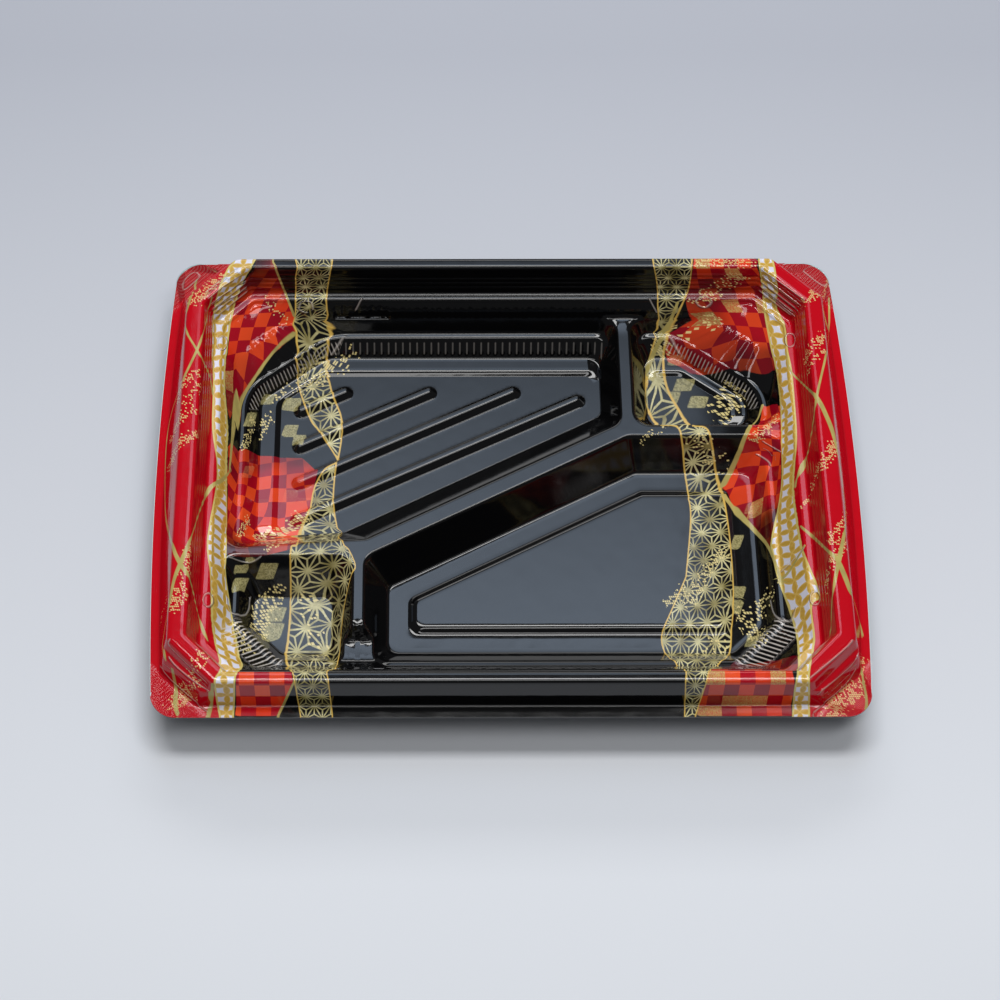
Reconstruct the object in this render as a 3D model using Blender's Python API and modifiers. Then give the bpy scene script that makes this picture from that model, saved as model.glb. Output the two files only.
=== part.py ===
"""A shallow compartment tray for a boxed lunch, formed from one thin plastic sheet.

The tray has a flat flange all round, a raised rim with cut corners, a stepped side wall and four
compartments that three dividers part. A printed film covers its whole upper side.
Metres, Z up. The origin is the middle of the plan, on the surface that the tray stands on.
"""

import math

import bpy
import bmesh
from mathutils import Vector
from mathutils.geometry import delaunay_2d_cdt

# The two layers. The gap parts the film from the sheet it is laminated to.
SHEET_THICKNESS = 0.0005
FILM_THICKNESS = 0.00015
LAYER_GAP = 0.0003

# The plan, as half sizes from the middle of the tray to the rim's inner edge.
RIM_HALF_X = 0.1153
RIM_HALF_Y = 0.0853
RIM_CORNER_NEAR = 0.0146
RIM_CORNER_FAR = 0.0157
RIM_WIDTH_SIDE = 0.0057
RIM_WIDTH_END = 0.0037
RIM_WIDTH_CORNER = 0.0052
FLANGE_RADIUS = 0.0088
FLANGE_BOW = 0.0037
FOOT_BOW = 0.0045

# Drops below the rim's top.
FLANGE_DROP = 0.0142
CORNER_STEP_DROP = 0.0050
CORNER_STEP_FALL = 0.0008
LEDGE_DROP = 0.0128
LEDGE_FALL = 0.0002
DIVIDER_DROP = 0.0205
SHELF_DROP = 0.0260
SHELF_FALL = 0.0002
STRIP_DROP = 0.0330
FLOOR_DROP = 0.0340
PANEL_DROP = 0.0328
RIM_ROUND = 0.0005

# Insets of the side wall from the rim's inner edge, from the ledge down to the floor.
LEDGE_OUTER_INSET = 0.0034
LEDGE_INNER_INSET = 0.0063
DIVIDER_INSET = 0.0105
SHELF_OUTER_INSET = 0.0135
SHELF_INNER_INSET = 0.0157
FLOOR_INSET = 0.0206
NEAR_FLOOR_INSET = 0.0220

# How far the outer wall's foot lies outside the rim's outer edge, and how wide the flange is past it.
FOOT_RUN_SIDE = 0.0022
FOOT_RUN_END = 0.0025
FOOT_RUN_CORNER = 0.0066
CORNER_STEP_RUN = 0.0016
CORNER_STEP_WIDTH = 0.0019
FLANGE_WIDTH_SIDE = 0.0041
FLANGE_WIDTH_END = 0.00495

# The dividers: how far each lies from the rim's inner edge on its own side of the tray, its width on
# top, and how far its faces run out at the foot.
UPPER_DIVIDER_INSET = 0.06825
UPPER_DIVIDER_WIDTH = 0.0045
UPPER_DIVIDER_RUN = 0.0063
RIGHT_DIVIDER_INSET = 0.0611
RIGHT_DIVIDER_WIDTH = 0.0040
RIGHT_DIVIDER_RUN = 0.0090
RIGHT_DIVIDER_FAR_RUN = 0.0073
DIAGONAL_UPPER_RISE = 0.0013
DIAGONAL_LOWER_RISE = 0.0014
DIAGONAL_WIDTH = 0.0055
DIAGONAL_FAR_RUN = 0.0126
DIAGONAL_NEAR_RUN = 0.0094
LOWER_DIVIDER_INSET = 0.0602
LOWER_DIVIDER_WIDTH = 0.0038
LOWER_DIVIDER_LEFT_RUN = 0.0075
LOWER_DIVIDER_RIGHT_RUN = 0.0085
LOWER_SADDLE_INSET = 0.0265
LOWER_SADDLE_SLOPE = 0.0026
LEFT_DIVIDER_ANGLE = math.radians(4.0)
LEFT_DIVIDER_INSET = 0.0566
LEFT_DIVIDER_WIDTH = 0.0024
LEFT_DIVIDER_FAR_RUN = 0.0100
LEFT_DIVIDER_NEAR_RUN = 0.0108

# The compartments' slanted corners: how much each takes off the rim's square corner, measured across
# the slant from the floor up: floor, shelf's inner edge, shelf's outer edge, dividers' top.
FAR_SLANT_ANGLE = math.radians(53.0)
FAR_SLANT_INSETS = (0.0445, 0.0407, 0.0395, 0.0297)
NEAR_SLANT_ANGLE = math.radians(45.0)
NEAR_SLANT_INSETS = (0.0382, 0.0328, 0.0306, 0.0243)

# Corner radii from the floor up, at the same four levels.
CORNER_RADII = (0.0045, 0.0052, 0.0058, 0.0068)
SLANT_RADII = (0.0080, 0.0180, 0.0200, 0.0160)
RIM_CORNER_RADIUS = 0.0030
LEDGE_CORNER_RADIUS = 0.0040

# The floors' inner panels: how far in their edges lie from the floor's edge.
PANEL_EDGE = 0.0062
PANEL_SLOPE = 0.0019
RAISED_PANEL_EDGE = 0.0085
RAISED_PANEL_SLOPE = 0.0022
PLAIN_EDGE = 0.0014

# The ribs on the main floor run nearly parallel to the slanted divider, turned a little from it.
RIB_TURN = math.radians(-1.3)
RIB_LEFT_GAP = 0.0162
RIB_FAR_GAP = 0.0159
RIB_RIGHT_GAP = 0.0095
RIB_DIVIDER_GAP = 0.0070
RIB_PITCH = 0.0160
RIB_LEAST_RISE = 0.0040
RIB_WIDTH = 0.0052
RIB_HEIGHT = 0.0009

ARC_PIECES = 3
ARC_SHARE = 0.48
SIDE_PIECE = 0.0190
MERGE = 0.000001

BLACK_PLASTIC = (0.012, 0.012, 0.014, 1.0)
RED_FILM = (0.33, 0.008, 0.016, 1.0)

RIM_TOP = SHEET_THICKNESS + FLOOR_DROP
FOOT_HALF_X = RIM_HALF_X + RIM_WIDTH_SIDE + FOOT_RUN_SIDE
FOOT_HALF_Y = RIM_HALF_Y + RIM_WIDTH_END + FOOT_RUN_END
FLANGE_HALF_X = FOOT_HALF_X + FLANGE_WIDTH_SIDE
FLANGE_HALF_Y = FOOT_HALF_Y + FLANGE_WIDTH_END
UPPER_DIVIDER_X = RIM_HALF_X - UPPER_DIVIDER_INSET
RIGHT_DIVIDER_Y = RIM_HALF_Y - RIGHT_DIVIDER_INSET
LOWER_DIVIDER_X = LOWER_DIVIDER_INSET - RIM_HALF_X
LEFT_DIVIDER_Y = LEFT_DIVIDER_INSET - RIM_HALF_Y
SADDLE_Y = LOWER_SADDLE_INSET - RIM_HALF_Y


class Side:
    """One straight side of an outline, with a reach and a drop at each level.

    angle is the direction of the side's outward normal, and a reach is its distance from the origin.
    """

    def __init__(self, angle, reaches, drops, marks=(), kind="divider"):
        self.normal = Vector((math.cos(angle), math.sin(angle)))
        self.along = Vector((-math.sin(angle), math.cos(angle)))
        self.angle = angle
        self.reaches = reaches
        self.drops = drops
        self.marks = marks
        self.kind = kind


def crossing(first, second, first_reach, second_reach):
    """The point where two sides' lines cross at the given reaches."""
    determinant = first.normal.x * second.normal.y - first.normal.y * second.normal.x
    x = (first_reach * second.normal.y - second_reach * first.normal.y) / determinant
    y = (first.normal.x * second_reach - second.normal.x * first_reach) / determinant
    return Vector((x, y))


def corner_arc(sides, index, level, radius):
    """Points of the round corner before a side at one level, as x, y and drop.

    The radius is held to what the shorter of the two sides leaves room for.
    """
    lines = [sides[(index + offset) % len(sides)] for offset in (-2, -1, 0, 1)]
    first, second = lines[1:3]
    corners = [crossing(a, b, a.reaches[level], b.reaches[level]) for a, b in zip(lines, lines[1:])]
    turn = (second.angle - first.angle) % (2.0 * math.pi)
    room = min((corners[1] - corners[0]).length, (corners[2] - corners[1]).length) * ARC_SHARE
    radius = min(radius, room / math.tan(turn / 2.0))
    centre = crossing(first, second, first.reaches[level] - radius, second.reaches[level] - radius)
    points = []
    for step in range(ARC_PIECES + 1):
        share = step / ARC_PIECES
        angle = first.angle + turn * share
        drop = first.drops[level] * (1.0 - share) + second.drops[level] * share
        points.append((centre.x + radius * math.cos(angle), centre.y + radius * math.sin(angle), drop))
    return points


def side_points(side, level, start, end, count):
    """Points of a side between two corners: at its own marks if they fit, or else evenly spaced."""
    first = Vector(start[:2])
    last = Vector(end[:2])
    if side.marks and first.dot(side.along) < side.marks[0] and side.marks[-1] < last.dot(side.along):
        places = [side.normal * side.reaches[level] + side.along * mark for mark in side.marks]
    else:
        places = [first.lerp(last, step / count) for step in range(1, count)]
    return [(place.x, place.y, side.drops[level]) for place in places]


def outline(sides, level, radii, counts):
    """A closed outline at one level, counter-clockwise from the corner before the first side."""
    total = len(sides)
    arcs = [corner_arc(sides, i, level, radii[i][level]) for i in range(total)]
    points = []
    for i, side in enumerate(sides):
        points += arcs[i]
        points += side_points(side, level, arcs[i][-1], arcs[(i + 1) % total][0], counts[i])
    return points


def side_counts(sides, level, radii):
    """How many pieces each side's straight part is cut into, from its length at one level."""
    total = len(sides)
    arcs = [corner_arc(sides, i, level, radii[i][level]) for i in range(total)]
    counts = []
    for i in range(total):
        length = (Vector(arcs[(i + 1) % total][0][:2]) - Vector(arcs[i][-1][:2])).length
        marks = len(sides[i].marks)
        counts.append(marks + 1 if marks else max(1, round(length / SIDE_PIECE)))
    return counts


def bowed(points, bow):
    """The outline with its left and right sides bulging by bow in the middle."""
    result = []
    for x, y, drop in points:
        bulge = 1.0 + bow / FLANGE_HALF_X * (1.0 - (y / FLANGE_HALF_Y) ** 2)
        result.append((x * bulge, y, drop))
    return result


def rim_reach(corner):
    """Reach of the rim's cut corner, from how much of the square corner it takes away."""
    return (RIM_HALF_X + RIM_HALF_Y - corner) / math.sqrt(2.0)


def rim_sides():
    """The eight sides of the flange and rim, each with its levels from the flange's edge inwards."""
    flange_corner = FLANGE_RADIUS * (2.0 - math.sqrt(2.0)) + MERGE
    flange_slant = (FLANGE_HALF_X + FLANGE_HALF_Y - flange_corner) / math.sqrt(2.0)
    step_share = CORNER_STEP_DROP / FLANGE_DROP
    lower_share = (CORNER_STEP_DROP + CORNER_STEP_FALL) / FLANGE_DROP

    def wall_runs(width, foot):
        return (width + foot, width + foot * lower_share, width + foot * step_share, width)

    inner = (-RIM_ROUND * 0.4, -LEDGE_OUTER_INSET, -LEDGE_INNER_INSET)
    step = RIM_WIDTH_CORNER + CORNER_STEP_RUN
    corner_outer = (RIM_WIDTH_CORNER + FOOT_RUN_CORNER, step + CORNER_STEP_WIDTH, step, RIM_WIDTH_CORNER)
    drops = (
        FLANGE_DROP,
        FLANGE_DROP,
        CORNER_STEP_DROP + CORNER_STEP_FALL,
        CORNER_STEP_DROP,
        RIM_ROUND,
        0.0,
        0.0,
        RIM_ROUND,
        LEDGE_DROP,
        LEDGE_DROP + LEDGE_FALL,
    )
    kinds = (
        (0.0, RIM_HALF_X, FLANGE_HALF_X, wall_runs(RIM_WIDTH_SIDE, FOOT_RUN_SIDE)),
        (45.0, rim_reach(RIM_CORNER_FAR), flange_slant, corner_outer),
        (90.0, RIM_HALF_Y, FLANGE_HALF_Y, wall_runs(RIM_WIDTH_END, FOOT_RUN_END)),
        (135.0, rim_reach(RIM_CORNER_FAR), flange_slant, corner_outer),
        (180.0, RIM_HALF_X, FLANGE_HALF_X, wall_runs(RIM_WIDTH_SIDE, FOOT_RUN_SIDE)),
        (225.0, rim_reach(RIM_CORNER_NEAR), flange_slant, corner_outer),
        (270.0, RIM_HALF_Y, FLANGE_HALF_Y, wall_runs(RIM_WIDTH_END, FOOT_RUN_END)),
        (315.0, rim_reach(RIM_CORNER_NEAR), flange_slant, corner_outer),
    )
    sides = []
    for angle, rim, flange, outer in kinds:
        runs = outer + (outer[-1] - RIM_ROUND, RIM_ROUND) + inner
        reaches = (flange,) + tuple(rim + run for run in runs)
        sides.append(Side(math.radians(angle), reaches, drops, kind="rim"))
    return sides


def rim_outlines():
    """Outlines of the flange, the rim and the ledge inside it, from the flange's edge inwards."""
    sides = rim_sides()
    levels = len(sides[0].reaches)
    corner_radii = [FLANGE_RADIUS] + [RIM_CORNER_RADIUS] * (levels - 3) + [LEDGE_CORNER_RADIUS] * 2
    radii = [corner_radii] * len(sides)
    counts = side_counts(sides, levels - 1, radii)
    bows = [FLANGE_BOW, FOOT_BOW, FOOT_BOW * 0.4, FOOT_BOW * 0.35] + [0.0] * (levels - 4)
    return [bowed(outline(sides, level, radii, counts), bows[level]) for level in range(levels)]


def wall_side(angle, inner_edge, floor_inset=FLOOR_INSET, strip=True):
    """A compartment's side along the tray's own wall: panel, strip, fluted wall, shelf and upper wall."""
    insets = (floor_inset, SHELF_INNER_INSET, SHELF_OUTER_INSET, DIVIDER_INSET)
    edge = PANEL_EDGE if strip else PLAIN_EDGE
    floor = inner_edge - floor_inset
    reaches = (floor - edge - PANEL_SLOPE, floor - edge) + tuple(inner_edge - inset for inset in insets)
    floor_drop = STRIP_DROP if strip else FLOOR_DROP
    drops = (FLOOR_DROP, floor_drop, floor_drop, SHELF_DROP + SHELF_FALL, SHELF_DROP, DIVIDER_DROP)
    return Side(math.radians(angle), reaches, drops, kind="wall")


def slant_side(angle, insets, strip=True):
    """A compartment's slanted corner side, given by its insets from the rim's square corner."""
    corner = RIM_HALF_X * abs(math.cos(angle)) + RIM_HALF_Y * abs(math.sin(angle))
    edge = PANEL_EDGE * 0.6 if strip else PLAIN_EDGE
    floor = corner - insets[0]
    reaches = (floor - edge - PANEL_SLOPE, floor - edge) + tuple(corner - inset for inset in insets)
    floor_drop = STRIP_DROP if strip else FLOOR_DROP
    drops = (FLOOR_DROP, floor_drop, floor_drop, SHELF_DROP + SHELF_FALL, SHELF_DROP, DIVIDER_DROP)
    return Side(angle, reaches, drops, kind="far slant" if strip else "near slant")


def divider_side(angle, top_reach, run, marks=()):
    """A compartment's side along a divider: one plain face from the floor to the divider's top."""
    shares = (0.0, 0.45, 0.60, 1.0)
    foot = top_reach - run
    height = FLOOR_DROP - DIVIDER_DROP
    reaches = (foot - PLAIN_EDGE - PANEL_SLOPE, foot - PLAIN_EDGE)
    reaches += tuple(foot + run * share for share in shares)
    drops = (FLOOR_DROP, FLOOR_DROP) + tuple(FLOOR_DROP - height * share for share in shares)
    return Side(angle, reaches, drops, marks)


def raised_panel(side):
    """The side with the floor's inner panel raised and drawn in further."""
    floor = side.reaches[2]
    edge = floor - RAISED_PANEL_EDGE
    reaches = (edge - RAISED_PANEL_SLOPE, edge) + side.reaches[2:]
    drops = (PANEL_DROP,) + side.drops[1:]
    return Side(side.angle, reaches, drops, side.marks, side.kind)


def compartment_sides():
    """The four compartments, each as its sides in counter-clockwise order."""
    right_of_upper = UPPER_DIVIDER_X + UPPER_DIVIDER_WIDTH / 2.0
    left_of_upper = UPPER_DIVIDER_X - UPPER_DIVIDER_WIDTH / 2.0
    far_of_right = RIGHT_DIVIDER_Y + RIGHT_DIVIDER_WIDTH / 2.0
    near_of_right = RIGHT_DIVIDER_Y - RIGHT_DIVIDER_WIDTH / 2.0
    upper_end = Vector((UPPER_DIVIDER_X, RIGHT_DIVIDER_Y + DIAGONAL_UPPER_RISE))
    lower_end = Vector((LOWER_DIVIDER_X, LEFT_DIVIDER_Y + DIAGONAL_LOWER_RISE))
    diagonal_turn = 1.5 * math.pi + math.atan2(*reversed(upper_end - lower_end))
    diagonal = upper_end.dot(Vector((math.cos(diagonal_turn), math.sin(diagonal_turn))))
    far_of_diagonal = diagonal - DIAGONAL_WIDTH / 2.0
    near_of_diagonal = diagonal + DIAGONAL_WIDTH / 2.0
    right_of_lower = LOWER_DIVIDER_X + LOWER_DIVIDER_WIDTH / 2.0
    left_of_lower = LOWER_DIVIDER_X - LOWER_DIVIDER_WIDTH / 2.0
    saddle = (SADDLE_Y, SADDLE_Y + LOWER_SADDLE_SLOPE)
    left_turn = 1.5 * math.pi + LEFT_DIVIDER_ANGLE
    left_end = Vector((DIVIDER_INSET - RIM_HALF_X, LEFT_DIVIDER_Y + LEFT_DIVIDER_WIDTH))
    far_of_left = left_end.dot(Vector((math.cos(left_turn), math.sin(left_turn))))

    main = [
        divider_side(0.0, left_of_upper, UPPER_DIVIDER_RUN),
        wall_side(90.0, RIM_HALF_Y),
        slant_side(math.pi - FAR_SLANT_ANGLE, FAR_SLANT_INSETS),
        wall_side(180.0, RIM_HALF_X),
        divider_side(left_turn, far_of_left, LEFT_DIVIDER_FAR_RUN),
        divider_side(diagonal_turn, far_of_diagonal, DIAGONAL_FAR_RUN),
    ]
    upper_right = [
        wall_side(0.0, RIM_HALF_X),
        slant_side(FAR_SLANT_ANGLE, FAR_SLANT_INSETS),
        wall_side(90.0, RIM_HALF_Y),
        divider_side(math.pi, -right_of_upper, UPPER_DIVIDER_RUN),
        divider_side(1.5 * math.pi, -far_of_right, RIGHT_DIVIDER_FAR_RUN),
    ]
    lower_left = [
        divider_side(0.0, left_of_lower, LOWER_DIVIDER_LEFT_RUN, saddle),
        divider_side(0.5 * math.pi, LEFT_DIVIDER_Y, LEFT_DIVIDER_NEAR_RUN),
        wall_side(180.0, RIM_HALF_X, strip=False),
        slant_side(math.pi + NEAR_SLANT_ANGLE, NEAR_SLANT_INSETS, strip=False),
        wall_side(270.0, RIM_HALF_Y, NEAR_FLOOR_INSET, strip=False),
    ]
    lower_right = [
        wall_side(0.0, RIM_HALF_X, strip=False),
        divider_side(0.5 * math.pi, near_of_right, RIGHT_DIVIDER_RUN),
        divider_side(diagonal_turn - math.pi, -near_of_diagonal, DIAGONAL_NEAR_RUN),
        divider_side(math.pi, -right_of_lower, LOWER_DIVIDER_RIGHT_RUN, (-saddle[1], -saddle[0])),
        wall_side(270.0, RIM_HALF_Y, NEAR_FLOOR_INSET, strip=False),
        slant_side(2.0 * math.pi - NEAR_SLANT_ANGLE, NEAR_SLANT_INSETS, strip=False),
    ]
    return [main, upper_right, lower_left, [raised_panel(side) for side in lower_right]]


def compartment_radii(sides):
    """The corner radii before each side: wider at the far slanted corners."""
    radii = []
    for i, side in enumerate(sides):
        upper = SLANT_RADII if "far slant" in (side.kind, sides[i - 1].kind) else CORNER_RADII
        radii.append((upper[0] * 0.7, upper[0] * 0.85) + tuple(upper))
    return radii


def lowered_saddle(points):
    """The outline with its part along the lower divider's saddle lowered to the shelf."""
    result = []
    for x, y, drop in points:
        beside = abs(x - LOWER_DIVIDER_X) < LOWER_DIVIDER_WIDTH + CORNER_RADII[-1]
        if beside and y < SADDLE_Y + MERGE and drop < SHELF_DROP:
            on_wall = y < -(RIM_HALF_Y - DIVIDER_INSET) + MERGE
            drop = drop if on_wall else SHELF_DROP
        result.append((x, y, drop))
    return result


def compartment_outlines(sides):
    """A compartment's outlines from its floor's inner panel up to the dividers' top."""
    radii = compartment_radii(sides)
    levels = len(sides[0].reaches)
    counts = side_counts(sides, 2, radii)
    outlines = [outline(sides, level, radii, counts) for level in range(levels)]
    return [lowered_saddle(points) for points in outlines]


def add_loft(mesh, lower, upper):
    """Faces between two outlines with the same number of points."""
    first = [mesh.verts.new((x, y, RIM_TOP - drop)) for x, y, drop in lower]
    second = [mesh.verts.new((x, y, RIM_TOP - drop)) for x, y, drop in upper]
    total = len(first)
    for i in range(total):
        j = (i + 1) % total
        mesh.faces.new((first[i], first[j], second[j], second[i]))


def add_filling(mesh, outer, holes, lines=()):
    """Triangles between an outer outline and its holes, with extra lines kept as edges."""
    places = []
    drops = []
    edges = []
    loops = []
    for points in [outer] + holes:
        loops.append(list(range(len(places), len(places) + len(points))))
        places += [Vector(point[:2]) for point in points]
        drops += [point[2] for point in points]
    for line in lines:
        start = len(places)
        places += [Vector(point[:2]) for point in line]
        drops += [point[2] for point in line]
        edges += [(start + i, start + i + 1) for i in range(len(line) - 1)]
    found, _, faces, sources, _, owners = delaunay_2d_cdt(places, edges, loops, 0, MERGE)
    verts = []
    for place, source in zip(found, sources):
        verts.append(mesh.verts.new((place.x, place.y, RIM_TOP - drops[source[0]])))
    for face, owner in zip(faces, owners):
        if list(owner) == [0]:
            mesh.faces.new([verts[i] for i in face])


def rib_axes(main):
    """The start and end of each rib on the main floor, from the slanted divider to the far wall."""
    right, far, _, left, *dividers = main
    slope = math.tan(dividers[-1].angle - 1.5 * math.pi + RIB_TURN)
    start_x = RIB_LEFT_GAP - left.reaches[2]
    foot_y = max((side.reaches[2] - start_x * side.normal.x) / side.normal.y for side in dividers)
    far_y = far.reaches[2] - RIB_FAR_GAP
    right_x = right.reaches[2] - RIB_RIGHT_GAP
    start_y = foot_y + RIB_DIVIDER_GAP
    axes = []
    while start_y + RIB_LEAST_RISE < far_y:
        end_x = min(start_x + (far_y - start_y) / slope, right_x)
        axes.append((Vector((start_x, start_y)), Vector((end_x, start_y + (end_x - start_x) * slope))))
        start_y += RIB_PITCH
    return axes


def rib_lines(main):
    """The ribs on the main floor: a closed foot line and a raised top line for each."""
    lines = []
    for start, end in rib_axes(main):
        heading = math.atan2(end.y - start.y, end.x - start.x)
        across = Vector((-math.sin(heading), math.cos(heading)))
        foot = []
        for centre, turn in ((start, 0.5 * math.pi), (end, -0.5 * math.pi)):
            for step in range(ARC_PIECES + 1):
                angle = heading + turn + math.pi * step / ARC_PIECES
                place = centre + Vector((math.cos(angle), math.sin(angle))) * (RIB_WIDTH / 2.0)
                foot.append((place.x, place.y, FLOOR_DROP))
        shift = across * (RIB_WIDTH / 4.0)
        corners = (start - shift, end - shift, end + shift, start + shift, start - shift)
        lines.append(foot + foot[:1])
        lines.append([(corner.x, corner.y, FLOOR_DROP - RIB_HEIGHT) for corner in corners])
    return lines


def wall_bridges(compartments):
    """Lines that carry the side wall's foot across the end of each divider."""
    ends = {}
    for sides in compartments:
        radii = compartment_radii(sides)
        for i, side in enumerate(sides):
            before = sides[i - 1]
            level = len(side.reaches) - 1
            if {before.kind, side.kind} == {"wall", "divider"}:
                arc = corner_arc(sides, i, level, radii[i][level])
                wall, place = (side, -1) if side.kind == "wall" else (before, 0)
                ends.setdefault(round(math.degrees(wall.angle)), []).append(arc[place])
    return list(ends.values())


def tray_surface():
    """The sheet's upper surface as one open mesh."""
    mesh = bmesh.new()
    rim = rim_outlines()
    for outer, inner in zip(rim, rim[1:]):
        add_loft(mesh, outer, inner)
    compartments = compartment_sides()
    stacks = [compartment_outlines(sides) for sides in compartments]
    for stack in stacks:
        for lower, upper in zip(stack, stack[1:]):
            add_loft(mesh, upper, lower)
    add_filling(mesh, rim[-1], [stack[-1] for stack in stacks], wall_bridges(compartments))
    add_filling(mesh, stacks[0][0], [], rib_lines(compartments[0]))
    for stack in stacks[1:]:
        add_filling(mesh, stack[0], [])
    bmesh.ops.remove_doubles(mesh, verts=mesh.verts, dist=MERGE)
    bmesh.ops.triangulate(mesh, faces=[face for face in mesh.faces if len(face.verts) > 3])
    bmesh.ops.recalc_face_normals(mesh, faces=mesh.faces)
    if sum(face.normal.z * face.calc_area() for face in mesh.faces) < 0.0:
        bmesh.ops.reverse_faces(mesh, faces=mesh.faces)
    data = bpy.data.meshes.new("tray_surface")
    mesh.to_mesh(data)
    mesh.free()
    return data


def plastic(name, color, roughness):
    """A glossy plastic material."""
    material = bpy.data.materials.new(name)
    material.use_nodes = True
    shader = material.node_tree.nodes["Principled BSDF"]
    shader.inputs["Base Color"].default_value = color
    shader.inputs["Roughness"].default_value = roughness
    shader.inputs["Metallic"].default_value = 0.0
    return material


def add_layer(collection, name, surface, material, thickness, lift):
    """One layer of the tray: the surface made solid, with its underside lifted off the surface."""
    layer = bpy.data.objects.new(name, surface.copy())
    collection.objects.link(layer)
    layer.data.name = name
    layer.data.materials.append(material)
    solidify = layer.modifiers.new("Solidify", "SOLIDIFY")
    solidify.thickness = thickness
    solidify.offset = 2.0 * lift / thickness + 1.0
    solidify.use_quality_normals = True
    return layer


def main():
    for item in list(bpy.data.objects):
        bpy.data.objects.remove(item, do_unlink=True)
    collection = bpy.data.collections.new("compartment_tray")
    bpy.context.scene.collection.children.link(collection)
    surface = tray_surface()
    sheet = plastic("sheet", BLACK_PLASTIC, 0.2)
    film = plastic("film", RED_FILM, 0.15)
    add_layer(collection, "tray_sheet", surface, sheet, SHEET_THICKNESS, -SHEET_THICKNESS)
    add_layer(collection, "printed_film", surface, film, FILM_THICKNESS, LAYER_GAP)
    bpy.data.meshes.remove(surface)


main()
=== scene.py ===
"""Dresses a compartment tray for a boxed lunch: its printed film, its black sheet and the stage.

Metres, Z up. A film coordinate is a place on the flat printed film before the tray was formed.
"""

import math

import bmesh
import bpy
import numpy as np
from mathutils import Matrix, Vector
from mathutils.bvhtree import BVHTree
from mathutils.geometry import delaunay_2d_cdt


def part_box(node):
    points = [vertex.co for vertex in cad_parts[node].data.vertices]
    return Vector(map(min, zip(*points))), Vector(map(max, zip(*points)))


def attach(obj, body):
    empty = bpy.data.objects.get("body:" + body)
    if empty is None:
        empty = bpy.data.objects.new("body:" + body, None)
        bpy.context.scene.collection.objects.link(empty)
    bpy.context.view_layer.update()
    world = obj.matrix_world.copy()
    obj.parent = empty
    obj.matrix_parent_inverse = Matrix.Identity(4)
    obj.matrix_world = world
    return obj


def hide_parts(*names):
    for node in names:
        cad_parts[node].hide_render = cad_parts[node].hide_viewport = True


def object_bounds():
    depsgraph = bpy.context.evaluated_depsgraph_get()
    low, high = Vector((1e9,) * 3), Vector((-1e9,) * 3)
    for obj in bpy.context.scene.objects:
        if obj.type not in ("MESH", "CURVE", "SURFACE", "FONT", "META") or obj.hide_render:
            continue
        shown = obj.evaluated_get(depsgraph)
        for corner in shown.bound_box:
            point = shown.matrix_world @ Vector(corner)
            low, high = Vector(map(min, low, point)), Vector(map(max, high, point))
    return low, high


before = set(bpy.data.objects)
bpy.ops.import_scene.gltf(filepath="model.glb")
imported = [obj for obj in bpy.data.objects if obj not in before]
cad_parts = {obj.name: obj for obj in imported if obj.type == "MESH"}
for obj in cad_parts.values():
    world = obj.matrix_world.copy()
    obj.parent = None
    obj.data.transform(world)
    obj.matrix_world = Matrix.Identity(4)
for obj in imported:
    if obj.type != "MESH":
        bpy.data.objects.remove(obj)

bl_info = {
    "name": "Compartment tray",
    "version": (1, 0, 0),
    "blender": (4, 5, 0),
    "location": "3D View > Sidebar > Tray",
    "description": "Builds the printed film and the black sheet of a boxed lunch's tray, and its stage",
    "category": "Add Mesh",
}

# The tray as imported from model.glb: its whole box, and the sheet under the film.
TRAY_LOW, TRAY_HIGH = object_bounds()
SHEET_LOW, SHEET_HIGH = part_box("tray_sheet")

# The plan of the rim, as half sizes to its inner edge.
RIM_HALF_X = 0.1153
RIM_HALF_Y = 0.0853
RIM_CORNER_NEAR = 0.0146
RIM_CORNER_FAR = 0.0157
RIM_WIDTH_SIDE = 0.0057
RIM_WIDTH_END = 0.0037
RIM_WIDTH_CORNER = 0.0052
FLANGE_RADIUS = 0.0088
FLANGE_BOW = 0.00363
FOOT_BOW = 0.0045
FOOT_RUN_SIDE = 0.0022
FOOT_RUN_END = 0.0025
FOOT_RUN_CORNER = 0.0066
CORNER_STEP_RUN = 0.0016
CORNER_STEP_WIDTH = 0.0019
FLANGE_WIDTH_SIDE = 0.0041
FLANGE_WIDTH_END = 0.00495

# Drops below the rim's top.
FLANGE_DROP = 0.0142
CORNER_STEP_DROP = 0.0050
CORNER_STEP_FALL = 0.0008
LEDGE_DROP = 0.0128
LEDGE_FALL = 0.0002
DIVIDER_DROP = 0.0205
SHELF_DROP = 0.0260
SHELF_FALL = 0.0002
STRIP_DROP = 0.0330
FLOOR_DROP = 0.0340
PANEL_DROP = 0.0328

# Insets of the side wall from the rim's inner edge, from the ledge down to the floor.
LEDGE_OUTER_INSET = 0.0034
LEDGE_INNER_INSET = 0.0063
DIVIDER_INSET = 0.0105
SHELF_OUTER_INSET = 0.0135
SHELF_INNER_INSET = 0.0157
FLOOR_INSET = 0.0206
NEAR_FLOOR_INSET = 0.0220

# The dividers.
UPPER_DIVIDER_INSET = 0.06825
UPPER_DIVIDER_WIDTH = 0.0045
UPPER_DIVIDER_RUN = 0.0063
RIGHT_DIVIDER_INSET = 0.0611
RIGHT_DIVIDER_WIDTH = 0.0040
RIGHT_DIVIDER_RUN = 0.0090
RIGHT_DIVIDER_FAR_RUN = 0.0073
DIAGONAL_UPPER_RISE = 0.0013
DIAGONAL_LOWER_RISE = 0.0014
DIAGONAL_WIDTH = 0.0055
DIAGONAL_FAR_RUN = 0.0126
DIAGONAL_NEAR_RUN = 0.0094
LOWER_DIVIDER_INSET = 0.0602
LOWER_DIVIDER_WIDTH = 0.0038
LOWER_DIVIDER_LEFT_RUN = 0.0075
LOWER_DIVIDER_RIGHT_RUN = 0.0085
LOWER_SADDLE_INSET = 0.0239
LOWER_SADDLE_SLOPE = 0.0040
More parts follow.
